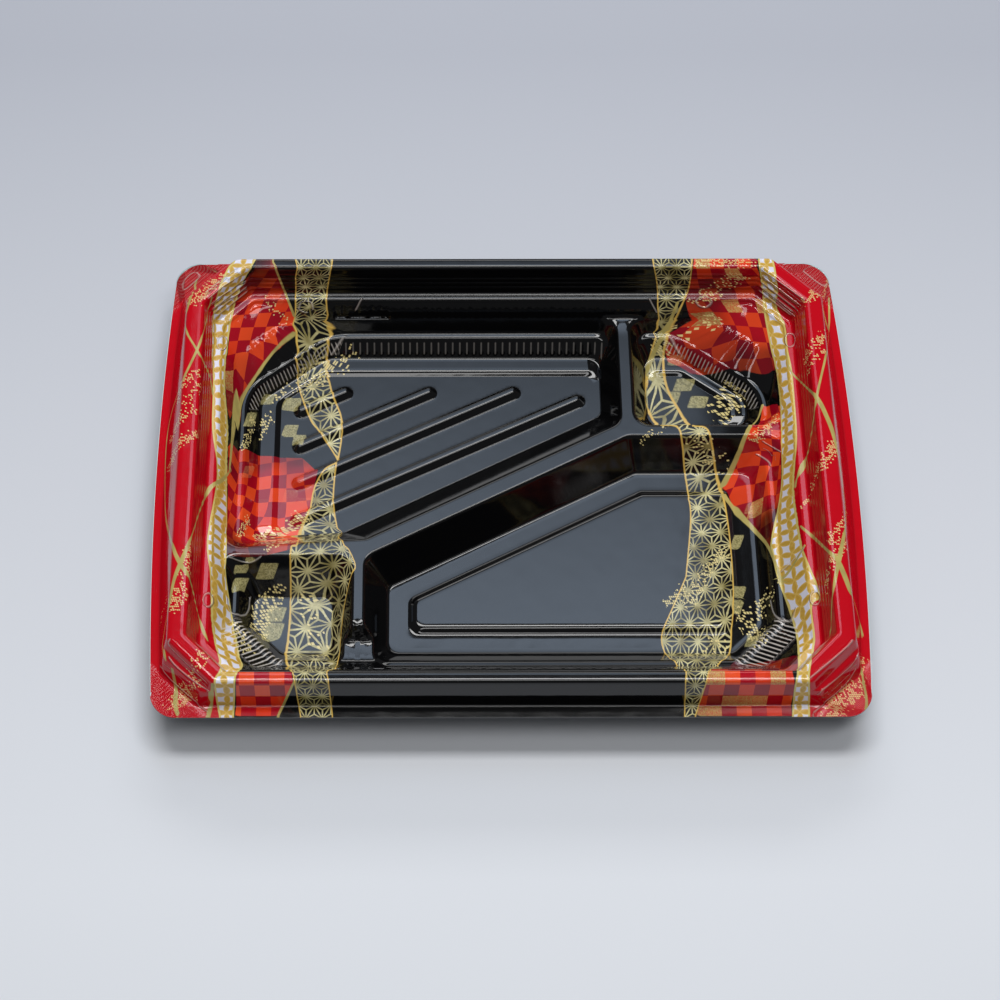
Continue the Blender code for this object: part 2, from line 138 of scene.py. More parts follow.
LEFT_DIVIDER_ANGLE = math.radians(4.0)
LEFT_DIVIDER_INSET = 0.0566
LEFT_DIVIDER_WIDTH = 0.0024
LEFT_DIVIDER_FAR_RUN = 0.0100
LEFT_DIVIDER_NEAR_RUN = 0.0108

# The slanted corners, the corner radii and the floors' panels, from the floor up.
FAR_SLANT_ANGLE = math.radians(53.0)
FAR_SLANT_INSETS = (0.0445, 0.0407, 0.0395, 0.0297)
NEAR_SLANT_ANGLE = math.radians(45.0)
NEAR_SLANT_INSETS = (0.0382, 0.0328, 0.0306, 0.0243)
CORNER_RADII = (0.0045, 0.0052, 0.0058, 0.0068)
SLANT_RADII = (0.0080, 0.0180, 0.0200, 0.0160)
RIM_CORNER_RADIUS = 0.0030
LEDGE_CORNER_RADIUS = 0.0040
PANEL_EDGE = 0.0062
PANEL_SLOPE = 0.0019
RAISED_PANEL_EDGE = 0.0085
RAISED_PANEL_SLOPE = 0.0022
PLAIN_EDGE = 0.0014
PANEL_RADII = (0.55, 0.70, 0.85)

# The ribs on the main floor.
RIB_TURN = math.radians(-1.3)
RIB_LEFT_GAP = 0.0162
RIB_FAR_GAP = 0.0159
RIB_RIGHT_GAP = 0.0095
RIB_DIVIDER_GAP = 0.0070
RIB_PITCH = 0.0160
RIB_LEAST_RISE = 0.0040
RIB_WIDTH = 0.0058
RIB_HEIGHT = 0.0017

FULL_TURN = 2.0 * math.pi

# Lengths and areas that stand for nothing at all, or for well away, in metres.
MERGE = 0.000001
LEAST_LENGTH = 1e-9
LEAST_AREA = 1e-12
FAR_OFF = 1.0

# How the outlines are shaped: shares of a side's length, of a run or of the rim's foot.
ARC_SHARE = 0.48
ROUND_SHARE = 0.46
LEDGE_EDGE_FALL = 0.0010
STEP_BOW_SHARES = (0.4, 0.35)
SLANT_EDGE_SHARE = 0.6
DIVIDER_FACE_SHARES = (0.0, 0.45, 0.60, 1.0)

# How the areas between the outlines are filled: shares of the filling's pitch, and its rounds.
ROW_SHARE = 0.866
LOOP_CLEARANCE = 0.6
LINE_CLEARANCE = 0.5
FILLING_ROUNDS = 60
BRIDGE_STEP = 0.001
RIB_END_POINTS = 9

# How the drawn surface is rounded off and divided between its knots, level by level.
RIM_ROUNDS = (0.0, 0.0010, 0.0006, 0.0006, 0.0008, 0.0008, 0.0010, 0.0010, 0.0)
RIM_PIECES = (5, 5, 2, 5, 5, 26, 3, 2)
WALL_ROUNDS = (0.0, 0.0008, 0.0008, 0.0010, 0.0006, 0.0006, 0.0007, 0.0)
WALL_PIECES = (1, 3, 4, 6, 3, 4, 1)
TOP_PAST = 0.0008
PANEL_PAST = 0.0003
RAISED_PANEL_PAST = 0.0016
WALL_BLEND = 0.0062
SADDLE_STEP = 0.0005
SADDLE_MARGIN = 0.0003
RIB_LOOP_SHARES = (1.12, 1.06, 1.0, 0.95, 0.90, 0.70, 0.50, 0.36, 0.30, 0.25, 0.18, 0.08)
RIB_LEAN = 0.0011
RIB_FACE_SHARE = 0.74
RIB_FOOT_SHARE = 0.12
RIB_CREST_SHARE = 0.08

# The fine grooves round the rim's inner wall, and the upright flutes on the lower walls.
GROOVE_START = 0.0030
GROOVE_END = 0.0120
GROOVE_BLEND = 0.0010
CORNER_GROOVES = 3.0
GROOVE_PITCH = 0.0022
GROOVE_DEPTH = 0.00010
FLUTE_BLEND = 0.0008
FAN_PITCH = 0.0040
FLUTED_STEP_SHARE = 0.5

# The flutes on each kind of wall: drop where they start and end, pitch and depth.
FLUTES = {
    "fluted wall": ((0.0266, 0.0322, 0.0028, 0.00026),),
    "far slant": ((0.0266, 0.0322, 0.0016, 0.00050), (0.0150, 0.0262, 0.0058, 0.00050)),
    "near slant": ((0.0155, 0.0285, 0.0019, 0.00065),),
}

# What each point of a surface carries, and how many numbers each takes.
CARRIED = {"spreads": 2, "flutes": 3, "grooves": 2, "edges": 1}

# The pale cut edge along the flange's sides and far corners: partly the sheet's grey core, partly a painted
# highlight where the lamps catch it. The near edge lies in shade and is left dark.
LIT_EDGE_WIDTH = 0.0008
LIT_EDGE_FROM_X = 0.112
LIT_EDGE_FROM_Y = -0.088

# How the flat film spread as it was drawn down inside the rim and outside it, and how it settles.
FILM_SPREAD_X = 0.73
FILM_SPREAD_Y = 0.54
FILM_SPREAD_OUT = 0.60
HELD_DROP = 0.0004
PULL_RANGE = (0.02, 20.0)
SETTLING_ROUNDS = 200

RIM_TOP = SHEET_HIGH.z
FILM_LIFT = TRAY_HIGH.z - SHEET_HIGH.z
SHEET_DEPTH = RIM_TOP - FLOOR_DROP - SHEET_LOW.z
FOOT_HALF_X = RIM_HALF_X + RIM_WIDTH_SIDE + FOOT_RUN_SIDE
FOOT_HALF_Y = RIM_HALF_Y + RIM_WIDTH_END + FOOT_RUN_END
FLANGE_HALF_X = FOOT_HALF_X + FLANGE_WIDTH_SIDE
FLANGE_HALF_Y = FOOT_HALF_Y + FLANGE_WIDTH_END
UPPER_DIVIDER_X = RIM_HALF_X - UPPER_DIVIDER_INSET
RIGHT_DIVIDER_Y = RIM_HALF_Y - RIGHT_DIVIDER_INSET
LOWER_DIVIDER_X = LOWER_DIVIDER_INSET - RIM_HALF_X
LEFT_DIVIDER_Y = LEFT_DIVIDER_INSET - RIM_HALF_Y
SADDLE_Y = LOWER_SADDLE_INSET - RIM_HALF_Y

# The photograph's camera, fitted to the tray's own outline.
PHOTO_SIZE = 1000
FOCAL_PIXELS = 2216.37
AXIS_PIXEL_X = 431.6
CAMERA_RISE = math.radians(61.5)
CAMERA_YAW = math.radians(0.10)
CAMERA_DISTANCE = 0.82254
CAMERA_TARGET = Vector((-0.02804, -0.00941, RIM_TOP - FLANGE_DROP + 0.00045))
CAMERA_ALONG = (math.sin(CAMERA_YAW) * math.cos(CAMERA_RISE), math.cos(CAMERA_YAW) * math.cos(CAMERA_RISE))
CAMERA_FORWARD = Vector((*CAMERA_ALONG, -math.sin(CAMERA_RISE)))
CAMERA_EYE = CAMERA_TARGET - CAMERA_FORWARD * CAMERA_DISTANCE
CAMERA_CLIP = (0.05, 20.0)
SENSOR = 36.0


class Side:
    """One straight side of an outline. Its knots are reach, drop, corner radius and bow, level by level."""

    def __init__(self, angle, knots, kind="divider"):
        self.angle = angle
        self.normal = np.array((math.cos(angle), math.sin(angle)))
        self.knots = np.array([tuple(knot) + (0.0,) * (4 - len(knot)) for knot in knots])
        self.kind = kind


class Fineness:
    """How finely a layer's surface is drawn."""

    def __init__(self, step, round_pieces, arc_pieces, grid):
        self.step = step
        self.round_pieces = round_pieces
        self.arc_pieces = arc_pieces
        self.grid = grid


FILM_FINENESS = Fineness(0.0008, 3, 8, 0.0011)
SHEET_FINENESS = Fineness(0.0018, 2, 8, 0.0024)


def fine_profile(knots, rounds, pieces, round_pieces):
    """A cross-section's knots as a finer line, with each inner knot rounded off."""
    steps = np.diff(knots[:, :2], axis=0)
    lengths = np.maximum(np.linalg.norm(steps, axis=1), MERGE)
    line = [knots[0]]
    start = knots[0]
    for i in range(1, len(knots) - 1):
        trim = min(rounds[i], ROUND_SHARE * lengths[i - 1], ROUND_SHARE * lengths[i])
        before = knots[i] + (knots[i - 1] - knots[i]) * (trim / lengths[i - 1])
        after = knots[i] + (knots[i + 1] - knots[i]) * (trim / lengths[i])
        for share in np.arange(1, pieces[i - 1] + 1) / pieces[i - 1]:
            line.append(start + (before - start) * share)
        for share in np.arange(1, round_pieces + 1) / round_pieces:
            first = (1.0 - share) ** 2
            last = share**2
            line.append(before * first + knots[i] * (1.0 - first - last) + after * last)
        start = after
    for share in np.arange(1, pieces[-1] + 1) / pieces[-1]:
        line.append(start + (knots[-1] - start) * share)
    return np.array(line)


def crossings(first, second, first_reach, second_reach):
    """Where two sides' lines cross, level by level."""
    determinant = first.normal[0] * second.normal[1] - first.normal[1] * second.normal[0]
    x = (first_reach * second.normal[1] - second_reach * first.normal[1]) / determinant
    y = (first.normal[0] * second_reach - second.normal[0] * first_reach) / determinant
    return np.stack((x, y), axis=-1)


class Stack:
    """Closed outlines, level by level, around one form of the tray."""

    def __init__(self, sides, profiles, fineness, reference):
        total = len(sides)
        corners = []
        for i in range(total):
            before = profiles[i - 1][:, 0]
            corners.append(crossings(sides[i - 1], sides[i], before, profiles[i][:, 0]))
        lengths = [np.linalg.norm(corners[(i + 1) % total] - corners[i], axis=1) for i in range(total)]
        arcs = []
        for i, side in enumerate(sides):
            before = sides[i - 1]
            turn = (side.angle - before.angle) % FULL_TURN
            room = np.minimum(lengths[i - 1], lengths[i]) * ARC_SHARE
            radius = np.minimum(profiles[i][:, 2], room / math.tan(turn / 2.0))
            reach = profiles[i - 1][:, 0] - radius
            centre = crossings(before, side, reach, profiles[i][:, 0] - radius)
            shares = np.linspace(0.0, 1.0, fineness.arc_pieces + 1)
            angles = before.angle + turn * shares
            spokes = np.stack((np.cos(angles), np.sin(angles)), axis=-1)
            places = centre[:, None, :] + radius[:, None, None] * spokes[None]
            drops = profiles[i - 1][:, None, 1] * (1.0 - shares) + profiles[i][:, None, 1] * shares
            bows = profiles[i - 1][:, None, 3] * (1.0 - shares) + profiles[i][:, None, 3] * shares
            arcs.append((places, drops, bows, spokes))
        places, drops, bows, spokes, owners = [], [], [], [], []
        for i, side in enumerate(sides):
            places.append(arcs[i][0])
            drops.append(arcs[i][1])
            bows.append(arcs[i][2])
            spokes.append(arcs[i][3])
            owners += [i - 0.5] * (fineness.arc_pieces + 1)
            start = arcs[i][0][:, -1]
            end = arcs[(i + 1) % total][0][:, 0]
            step = fineness.step * (FLUTED_STEP_SHARE if side.kind in FLUTES else 1.0)
            count = max(1, round(np.linalg.norm(end[reference] - start[reference]) / step))
            shares = np.arange(1, count) / count
            places.append(start[:, None] + (end - start)[:, None] * shares[None, :, None])
            drops.append(np.repeat(profiles[i][:, 1:2], count - 1, axis=1))
            bows.append(np.repeat(profiles[i][:, 3:4], count - 1, axis=1))
            spokes.append(np.repeat(side.normal[None], count - 1, axis=0))
            owners += [float(i)] * (count - 1)
        self.places = np.concatenate(places, axis=1)
        self.drops = np.concatenate(drops, axis=1)
        self.spokes = np.concatenate(spokes, axis=0)
        self.owners = np.array(owners)
        bulge = np.concatenate(bows, axis=1) / FLANGE_HALF_X
        self.places[:, :, 0] *= 1.0 + bulge * (1.0 - (self.places[:, :, 1] / FLANGE_HALF_Y) ** 2)
        loop = self.places[reference]
        self.along = np.concatenate(([0.0], np.cumsum(np.linalg.norm(np.diff(loop, axis=0), axis=1))))

    def outline(self, level):
        """The outline at one level, as x, y and drop."""
        return np.concatenate((self.places[level], self.drops[level][:, None]), axis=1)


def rim_reach(corner):
    """Reach of the rim's cut corner, from how much of the square corner it takes away."""
    return (RIM_HALF_X + RIM_HALF_Y - corner) / math.sqrt(2.0)


def rim_sides():
    """The eight sides of the flange and rim, each with its knots from the flange's edge inwards."""
    flange_corner = FLANGE_RADIUS * (2.0 - math.sqrt(2.0)) + MERGE
    flange_slant = (FLANGE_HALF_X + FLANGE_HALF_Y - flange_corner) / math.sqrt(2.0)
    step_share = CORNER_STEP_DROP / FLANGE_DROP
    lower_share = (CORNER_STEP_DROP + CORNER_STEP_FALL) / FLANGE_DROP
    fall = LEDGE_EDGE_FALL

    def wall_runs(width, foot):
        return (width + foot, width + foot * lower_share, width + foot * step_share, width)

    step = RIM_WIDTH_CORNER + CORNER_STEP_RUN
    corner_outer = (RIM_WIDTH_CORNER + FOOT_RUN_CORNER, step + CORNER_STEP_WIDTH, step, RIM_WIDTH_CORNER)
    drops = (
        FLANGE_DROP,
        FLANGE_DROP,
        CORNER_STEP_DROP + CORNER_STEP_FALL,
        CORNER_STEP_DROP,
        0.0,
        0.0,
        LEDGE_DROP,
        LEDGE_DROP + LEDGE_FALL,
        LEDGE_DROP + LEDGE_FALL + fall,
    )
    bows = (FLANGE_BOW, FOOT_BOW, *(FOOT_BOW * share for share in STEP_BOW_SHARES)) + (0.0,) * 5
    radii = (FLANGE_RADIUS,) + (RIM_CORNER_RADIUS,) * 5 + (LEDGE_CORNER_RADIUS,) * 3
    past = fall * (DIVIDER_INSET - LEDGE_INNER_INSET) / (DIVIDER_DROP - LEDGE_DROP - LEDGE_FALL)
    inner = (0.0, -LEDGE_OUTER_INSET, -LEDGE_INNER_INSET, -LEDGE_INNER_INSET - past)
    side_runs = wall_runs(RIM_WIDTH_SIDE, FOOT_RUN_SIDE)
    end_runs = wall_runs(RIM_WIDTH_END, FOOT_RUN_END)
    kinds = (
        (0.0, RIM_HALF_X, FLANGE_HALF_X, side_runs),
        (45.0, rim_reach(RIM_CORNER_FAR), flange_slant, corner_outer),
        (90.0, RIM_HALF_Y, FLANGE_HALF_Y, end_runs),
        (135.0, rim_reach(RIM_CORNER_FAR), flange_slant, corner_outer),
        (180.0, RIM_HALF_X, FLANGE_HALF_X, side_runs),
        (225.0, rim_reach(RIM_CORNER_NEAR), flange_slant, corner_outer),
        (270.0, RIM_HALF_Y, FLANGE_HALF_Y, end_runs),
        (315.0, rim_reach(RIM_CORNER_NEAR), flange_slant, corner_outer),
    )
    sides = []
    for angle, rim, flange, outer in kinds:
        reaches = (flange,) + tuple(rim + run for run in outer + inner)
        knots = list(zip(reaches, drops, radii, bows))
        sides.append(Side(math.radians(angle), knots, kind="rim"))
    return sides


def rim_stack(fineness):
    """The flange, the rim and the ledge inside it, as outlines from the flange's edge inwards."""
    sides = rim_sides()
    profiles = []
    for side in sides:
        profiles.append(fine_profile(side.knots, RIM_ROUNDS, RIM_PIECES, fineness.round_pieces))
    return Stack(sides, profiles, fineness, len(profiles[0]) - 1)


def level_knots(reaches, drops, radii, rise):
    """Knots from the floor's panel up to the dividers' top, and a little way past it along the rise."""
    length = math.hypot(*rise)
    past = [TOP_PAST * part / length for part in rise]
    reaches = (reaches[0] - PANEL_PAST,) + tuple(reaches) + (reaches[-1] + past[0],)
    drops = drops[:1] + tuple(drops) + (drops[-1] - past[1],)
    radii = tuple(radii[0] * share for share in PANEL_RADII) + tuple(radii) + (radii[-1],)
    return list(zip(reaches, drops, radii))


def wall_side(angle, inner_edge, floor_inset=FLOOR_INSET, strip=True, kind="wall"):
    """A compartment's side along the tray's own wall."""
    insets = (floor_inset, SHELF_INNER_INSET, SHELF_OUTER_INSET, DIVIDER_INSET)
    edge = PANEL_EDGE if strip else PLAIN_EDGE
    floor = inner_edge - floor_inset
    reaches = (floor - edge - PANEL_SLOPE, floor - edge) + tuple(inner_edge - inset for inset in insets)
    floor_drop = STRIP_DROP if strip else FLOOR_DROP
    drops = (FLOOR_DROP, floor_drop, floor_drop, SHELF_DROP + SHELF_FALL, SHELF_DROP, DIVIDER_DROP)
    rise = (DIVIDER_INSET - LEDGE_INNER_INSET, DIVIDER_DROP - LEDGE_DROP - LEDGE_FALL)
    return Side(math.radians(angle), level_knots(reaches, drops, CORNER_RADII, rise), kind)


def slant_side(angle, insets, strip=True):
    """A compartment's slanted corner side, given by its insets from the rim's square corner."""
    corner = RIM_HALF_X * abs(math.cos(angle)) + RIM_HALF_Y * abs(math.sin(angle))
    edge = PANEL_EDGE * SLANT_EDGE_SHARE if strip else PLAIN_EDGE
    floor = corner - insets[0]
    reaches = (floor - edge - PANEL_SLOPE, floor - edge) + tuple(corner - inset for inset in insets)
    floor_drop = STRIP_DROP if strip else FLOOR_DROP
    drops = (FLOOR_DROP, floor_drop, floor_drop, SHELF_DROP + SHELF_FALL, SHELF_DROP, DIVIDER_DROP)
    ledge = rim_reach(RIM_CORNER_FAR if strip else RIM_CORNER_NEAR) - LEDGE_INNER_INSET
    rise = (ledge - reaches[-1], DIVIDER_DROP - LEDGE_DROP - LEDGE_FALL)
    kind = "far slant" if strip else "near slant"
    return Side(angle, level_knots(reaches, drops, CORNER_RADII, rise), kind=kind)


def divider_side(angle, top_reach, run):
    """A compartment's side along a divider: one plain face from the floor to the divider's top."""
    shares = DIVIDER_FACE_SHARES
    foot = top_reach - run
    height = FLOOR_DROP - DIVIDER_DROP
    reaches = (foot - PLAIN_EDGE - PANEL_SLOPE, foot - PLAIN_EDGE)
    reaches += tuple(foot + run * share for share in shares)
    drops = (FLOOR_DROP, FLOOR_DROP) + tuple(FLOOR_DROP - height * share for share in shares)
    return Side(angle, level_knots(reaches, drops, CORNER_RADII, (1.0, 0.0)))


def raised_panel(side):
    """The side with the floor's inner panel raised and drawn in further."""
    knots = side.knots.copy()
    edge = knots[3, 0] - RAISED_PANEL_EDGE
    knots[0, :2] = (edge - RAISED_PANEL_SLOPE - RAISED_PANEL_PAST, PANEL_DROP)
    knots[1, :2] = (edge - RAISED_PANEL_SLOPE, PANEL_DROP)
    knots[2, 0] = edge
    return Side(side.angle, knots, side.kind)


def compartment_sides():
    """The four compartments, each as its sides in counter-clockwise order."""
    right_of_upper = UPPER_DIVIDER_X + UPPER_DIVIDER_WIDTH / 2.0
    left_of_upper = UPPER_DIVIDER_X - UPPER_DIVIDER_WIDTH / 2.0
    far_of_right = RIGHT_DIVIDER_Y + RIGHT_DIVIDER_WIDTH / 2.0
    near_of_right = RIGHT_DIVIDER_Y - RIGHT_DIVIDER_WIDTH / 2.0
    upper_end = Vector((UPPER_DIVIDER_X, RIGHT_DIVIDER_Y + DIAGONAL_UPPER_RISE))
    lower_end = Vector((LOWER_DIVIDER_X, LEFT_DIVIDER_Y + DIAGONAL_LOWER_RISE))
    diagonal_turn = 1.5 * math.pi + math.atan2(*reversed(upper_end - lower_end))
    diagonal = upper_end.dot(Vector((math.cos(diagonal_turn), math.sin(diagonal_turn))))
    far_of_diagonal = diagonal - DIAGONAL_WIDTH / 2.0
    near_of_diagonal = diagonal + DIAGONAL_WIDTH / 2.0
    right_of_lower = LOWER_DIVIDER_X + LOWER_DIVIDER_WIDTH / 2.0
    left_of_lower = LOWER_DIVIDER_X - LOWER_DIVIDER_WIDTH / 2.0
    left_turn = 1.5 * math.pi + LEFT_DIVIDER_ANGLE
    left_end = Vector((DIVIDER_INSET - RIM_HALF_X, LEFT_DIVIDER_Y + LEFT_DIVIDER_WIDTH))
    far_of_left = left_end.dot(Vector((math.cos(left_turn), math.sin(left_turn))))

    main = [
        divider_side(0.0, left_of_upper, UPPER_DIVIDER_RUN),
        wall_side(90.0, RIM_HALF_Y, kind="fluted wall"),
        slant_side(math.pi - FAR_SLANT_ANGLE, FAR_SLANT_INSETS),
        wall_side(180.0, RIM_HALF_X),
        divider_side(left_turn, far_of_left, LEFT_DIVIDER_FAR_RUN),
        divider_side(diagonal_turn, far_of_diagonal, DIAGONAL_FAR_RUN),
    ]
    upper_right = [
        wall_side(0.0, RIM_HALF_X),
        slant_side(FAR_SLANT_ANGLE, FAR_SLANT_INSETS),
        wall_side(90.0, RIM_HALF_Y),
        divider_side(math.pi, -right_of_upper, UPPER_DIVIDER_RUN),
        divider_side(1.5 * math.pi, -far_of_right, RIGHT_DIVIDER_FAR_RUN),
    ]
    lower_left = [
        divider_side(0.0, left_of_lower, LOWER_DIVIDER_LEFT_RUN),
        divider_side(0.5 * math.pi, LEFT_DIVIDER_Y, LEFT_DIVIDER_NEAR_RUN),
        wall_side(180.0, RIM_HALF_X, strip=False),
        slant_side(math.pi + NEAR_SLANT_ANGLE, NEAR_SLANT_INSETS, strip=False),
        wall_side(270.0, RIM_HALF_Y, NEAR_FLOOR_INSET, strip=False),
    ]
    lower_right = [
        wall_side(0.0, RIM_HALF_X, strip=False),
        divider_side(0.5 * math.pi, near_of_right, RIGHT_DIVIDER_RUN),
        divider_side(diagonal_turn - math.pi, -near_of_diagonal, DIAGONAL_NEAR_RUN),
        divider_side(math.pi, -right_of_lower, LOWER_DIVIDER_RIGHT_RUN),
        wall_side(270.0, RIM_HALF_Y, NEAR_FLOOR_INSET, strip=False),
        slant_side(FULL_TURN - NEAR_SLANT_ANGLE, NEAR_SLANT_INSETS, strip=False),
    ]
    compartments = [main, upper_right, lower_left, [raised_panel(side) for side in lower_right]]
    for sides in compartments:
        for i, side in enumerate(sides):
            if "far slant" in (side.kind, sides[i - 1].kind):
                floor_radii = tuple(SLANT_RADII[0] * share for share in PANEL_RADII)
                side.knots[:, 2] = floor_radii + SLANT_RADII + SLANT_RADII[-1:]
    return compartments


def saddle_drop(y):
    """How low the lower divider's top lies along its length. It dips to the shelf before the near wall."""
    share = np.clip((y - SADDLE_Y) / LOWER_SADDLE_SLOPE, 0.0, 1.0)
    share = share * share * (3.0 - 2.0 * share)
    wall = np.clip((-y - (RIM_HALF_Y - DIVIDER_INSET) + WALL_BLEND) / WALL_BLEND, 0.0, 1.0)
    return SHELF_DROP + (DIVIDER_DROP - SHELF_DROP) * (share + wall**2 * (1.0 - share))


def lower_saddle(stack):
    """Lowers the outlines beside the lower divider's near end to the shelf."""
    beside = np.abs(stack.places[:, :, 0] - LOWER_DIVIDER_X) < LOWER_DIVIDER_WIDTH + CORNER_RADII[-1]
    floor = saddle_drop(stack.places[:, :, 1])
    stack.drops = np.where(beside, np.maximum(stack.drops, floor), stack.drops)


def saddle_lines():
    """Short lines across the lower divider's top, close together where it dips."""
    half = LOWER_DIVIDER_WIDTH / 2.0 - TOP_PAST - SADDLE_MARGIN
    lines = []
    for y in np.arange(DIVIDER_INSET - RIM_HALF_Y, SADDLE_Y + LOWER_SADDLE_SLOPE, SADDLE_STEP)[1:]:
        lines.append([(LOWER_DIVIDER_X + x, y, saddle_drop(y)) for x in (-half, 0.0, half)])
    return lines


def compartment_stack(sides, fineness):
    """A compartment's outlines from its floor's inner panel up past the dividers' top."""
    profiles = []
    for side in sides:
        profiles.append(fine_profile(side.knots, WALL_ROUNDS, WALL_PIECES, fineness.round_pieces))
    stack = Stack(sides, profiles, fineness, len(profiles[0]) // 3)
    lower_saddle(stack)
    return stack


def rib_axes(main):
    """The start and end of each rib on the main floor, from the slanted divider to the far wall."""
    right, far, _, left, *dividers = main
    slope = math.tan(dividers[-1].angle - 1.5 * math.pi + RIB_TURN)
    start_x = RIB_LEFT_GAP - left.knots[3, 0]
    feet = [(side.knots[3, 0] - start_x * side.normal[0]) / side.normal[1] for side in dividers]
    far_y = far.knots[3, 0] - RIB_FAR_GAP
    right_x = right.knots[3, 0] - RIB_RIGHT_GAP
    start_y = max(feet) + RIB_DIVIDER_GAP
    axes = []
    while start_y + RIB_LEAST_RISE < far_y:
        end_x = min(start_x + (far_y - start_y) / slope, right_x)
        axes.append((np.array((start_x, start_y)), np.array((end_x, start_y + (end_x - start_x) * slope))))
        start_y += RIB_PITCH
    return axes


def rib_rise(share):
    """How far a rib stands up at a share of its half width, with its foot and crest rounded."""
    past = max(0.0, 1.0 - share + RIB_FOOT_SHARE)
    face = 1.0 - share if past > 2.0 * RIB_FOOT_SHARE else past**2 / (4.0 * RIB_FOOT_SHARE)
    over = min(2.0 * RIB_CREST_SHARE, max(0.0, face - RIB_FACE_SHARE + RIB_CREST_SHARE))
    face = min(face, RIB_FACE_SHARE - RIB_CREST_SHARE) + over - over**2 / (4.0 * RIB_CREST_SHARE)
    return RIB_HEIGHT * face / RIB_FACE_SHARE


def rib_loops(main, step):
    """Closed lines round each rib, from its foot in to its crest, as x, y and drop."""
    loops = []
    for start, end in rib_axes(main):
        heading = math.atan2(end[1] - start[1], end[0] - start[0])
        lean = RIB_LEAN * np.array((-math.sin(heading), math.cos(heading)))
        pieces = max(2, round(float(np.linalg.norm(end - start)) / step))
        for share in RIB_LOOP_SHARES:
            radius = RIB_WIDTH / 2.0 * share
            drop = FLOOR_DROP - rib_rise(share)
            shift = lean * max(0.0, 1.0 - share)
            loop = []
            ends = ((start + shift, end + shift, 0.5 * math.pi), (end + shift, start + shift, -0.5 * math.pi))
            for centre, other, turn in ends:
                for angle in heading + turn + np.linspace(0.0, math.pi, RIB_END_POINTS):
                    loop.append((centre[0] + radius * math.cos(angle), centre[1] + radius * math.sin(angle)))
                last = np.array(loop[-1])
                for part in np.arange(1, pieces) / pieces:
                    loop.append(tuple(last + (other - centre) * part))
            loops.append([(x, y, drop) for x, y in loop])
        shares = np.linspace(0.0, 1.0, pieces)
        loops.append([(*(start + lean + (end - start) * part), FLOOR_DROP - RIB_HEIGHT) for part in shares])
    return loops


def inside_loop(points, loop):
    """Which points lie inside a closed line."""
    inside = np.zeros(len(points), bool)
    x, y = points[:, 0], points[:, 1]
    for (ax, ay), (bx, by) in zip(loop, np.roll(loop, -1, axis=0)):
        if ay != by:
            across = (ay > y) != (by > y)
            inside ^= across & (x < (bx - ax) * (y - ay) / (by - ay) + ax)
    return inside


def line_distance(points, line, closed=False):
    """Distance from each point to a line of short pieces."""
    best = np.full(len(points), FAR_OFF**2)
    ends = np.roll(line, -1, axis=0) if closed else line[1:]
    for start, end in zip(line, ends):
        step = end - start
        length = max(float(step @ step), LEAST_LENGTH**2)
        share = np.clip(((points - start) @ step) / length, 0.0, 1.0)
        gap = points - start - share[:, None] * step
        best = np.minimum(best, np.einsum("ij,ij->i", gap, gap))
    return np.sqrt(best)


class Surface:
    """The tray's upper surface as one mesh: points, faces and what each point carries."""

    def __init__(self):
        self.points = []
        self.faces = []
        self.carried = {name: [] for name in CARRIED}
        self.total = 0

    def add_points(self, points, carried=None):
        start = self.total
        count = len(points)
        self.points.append(np.asarray(points, float))
        for name, columns in CARRIED.items():
            values = (carried or {}).get(name)
            given = np.zeros((count, columns)) if values is None else values.reshape(-1, columns)
            self.carried[name].append(given)
        self.total += count
        return start

    def add_stack(self, stack, inwards, carried):
        levels, count = stack.drops.shape
        points = np.concatenate((stack.places, stack.drops[:, :, None]), axis=2).reshape(-1, 3)
        start = self.add_points(points, carried)
        first = start + np.arange(levels - 1)[:, None] * count + np.arange(count)[None]
        second = start + np.arange(levels - 1)[:, None] * count + np.roll(np.arange(count), -1)[None]
        quads = np.stack((first, second, second + count, first + count), axis=-1).reshape(-1, 4)
        if not inwards:
            quads = quads[:, ::-1]
        self.faces += quads.tolist()

    def add_filling(self, outer, holes, lines, grid):
        """Triangles between an outer outline and its holes, with evenly spread points inside."""
        loops = [np.asarray(loop, float) for loop in [outer] + holes]
        rough, triangles = triangulated(loops, lines, None)
        tree = BVHTree.FromPolygons([Vector((x, y, -drop)) for x, y, drop in rough], triangles)
        low = loops[0][:, :2].min(axis=0)
        high = loops[0][:, :2].max(axis=0)
        columns = np.arange(low[0], high[0], grid)
        rows = np.arange(low[1], high[1], grid * ROW_SHARE)
        shifts = (0.0, 0.5 * grid)
        spots = np.array([(x + shifts[i % 2], y) for i, y in enumerate(rows) for x in columns])
        inside = inside_loop(spots, loops[0][:, :2])
        for hole in loops[1:]:
            inside &= ~inside_loop(spots, hole[:, :2])
        spots = spots[inside]
        for loop in loops:
            spots = spots[line_distance(spots, loop[:, :2], closed=True) > LOOP_CLEARANCE * grid]
        for line in lines:
            spots = spots[line_distance(spots, np.asarray(line)[:, :2]) > LINE_CLEARANCE * grid]
        inner = []
        for x, y in spots:
            hit = tree.ray_cast(Vector((x, y, 1.0)), Vector((0.0, 0.0, -1.0)))[0]
            if hit is not None:
                inner.append((x, y, -hit.z))
        fine, triangles = triangulated(loops, lines, inner)
        inside = np.arange(len(fine)) >= len(fine) - len(inner)
        fine[:, 2] = smoothed_drops(fine, triangles, inside)
        start = self.add_points(fine)
        self.faces += (np.array(triangles) + start).tolist()


def smoothed_drops(points, triangles, inside):
    """The points' drops after the inner points have settled between their neighbours."""
    ends = np.array([(a, b) for face in triangles for a, b in zip(face, face[1:] + face[:1])])
    drops = points[:, 2].copy()
    counts = np.maximum(np.bincount(ends.ravel(), minlength=len(points)), 1)
    for _ in range(FILLING_ROUNDS):
        sums = np.bincount(ends[:, 0], drops[ends[:, 1]], len(points))
        sums += np.bincount(ends[:, 1], drops[ends[:, 0]], len(points))
        drops = np.where(inside, sums / counts, drops)
    return drops


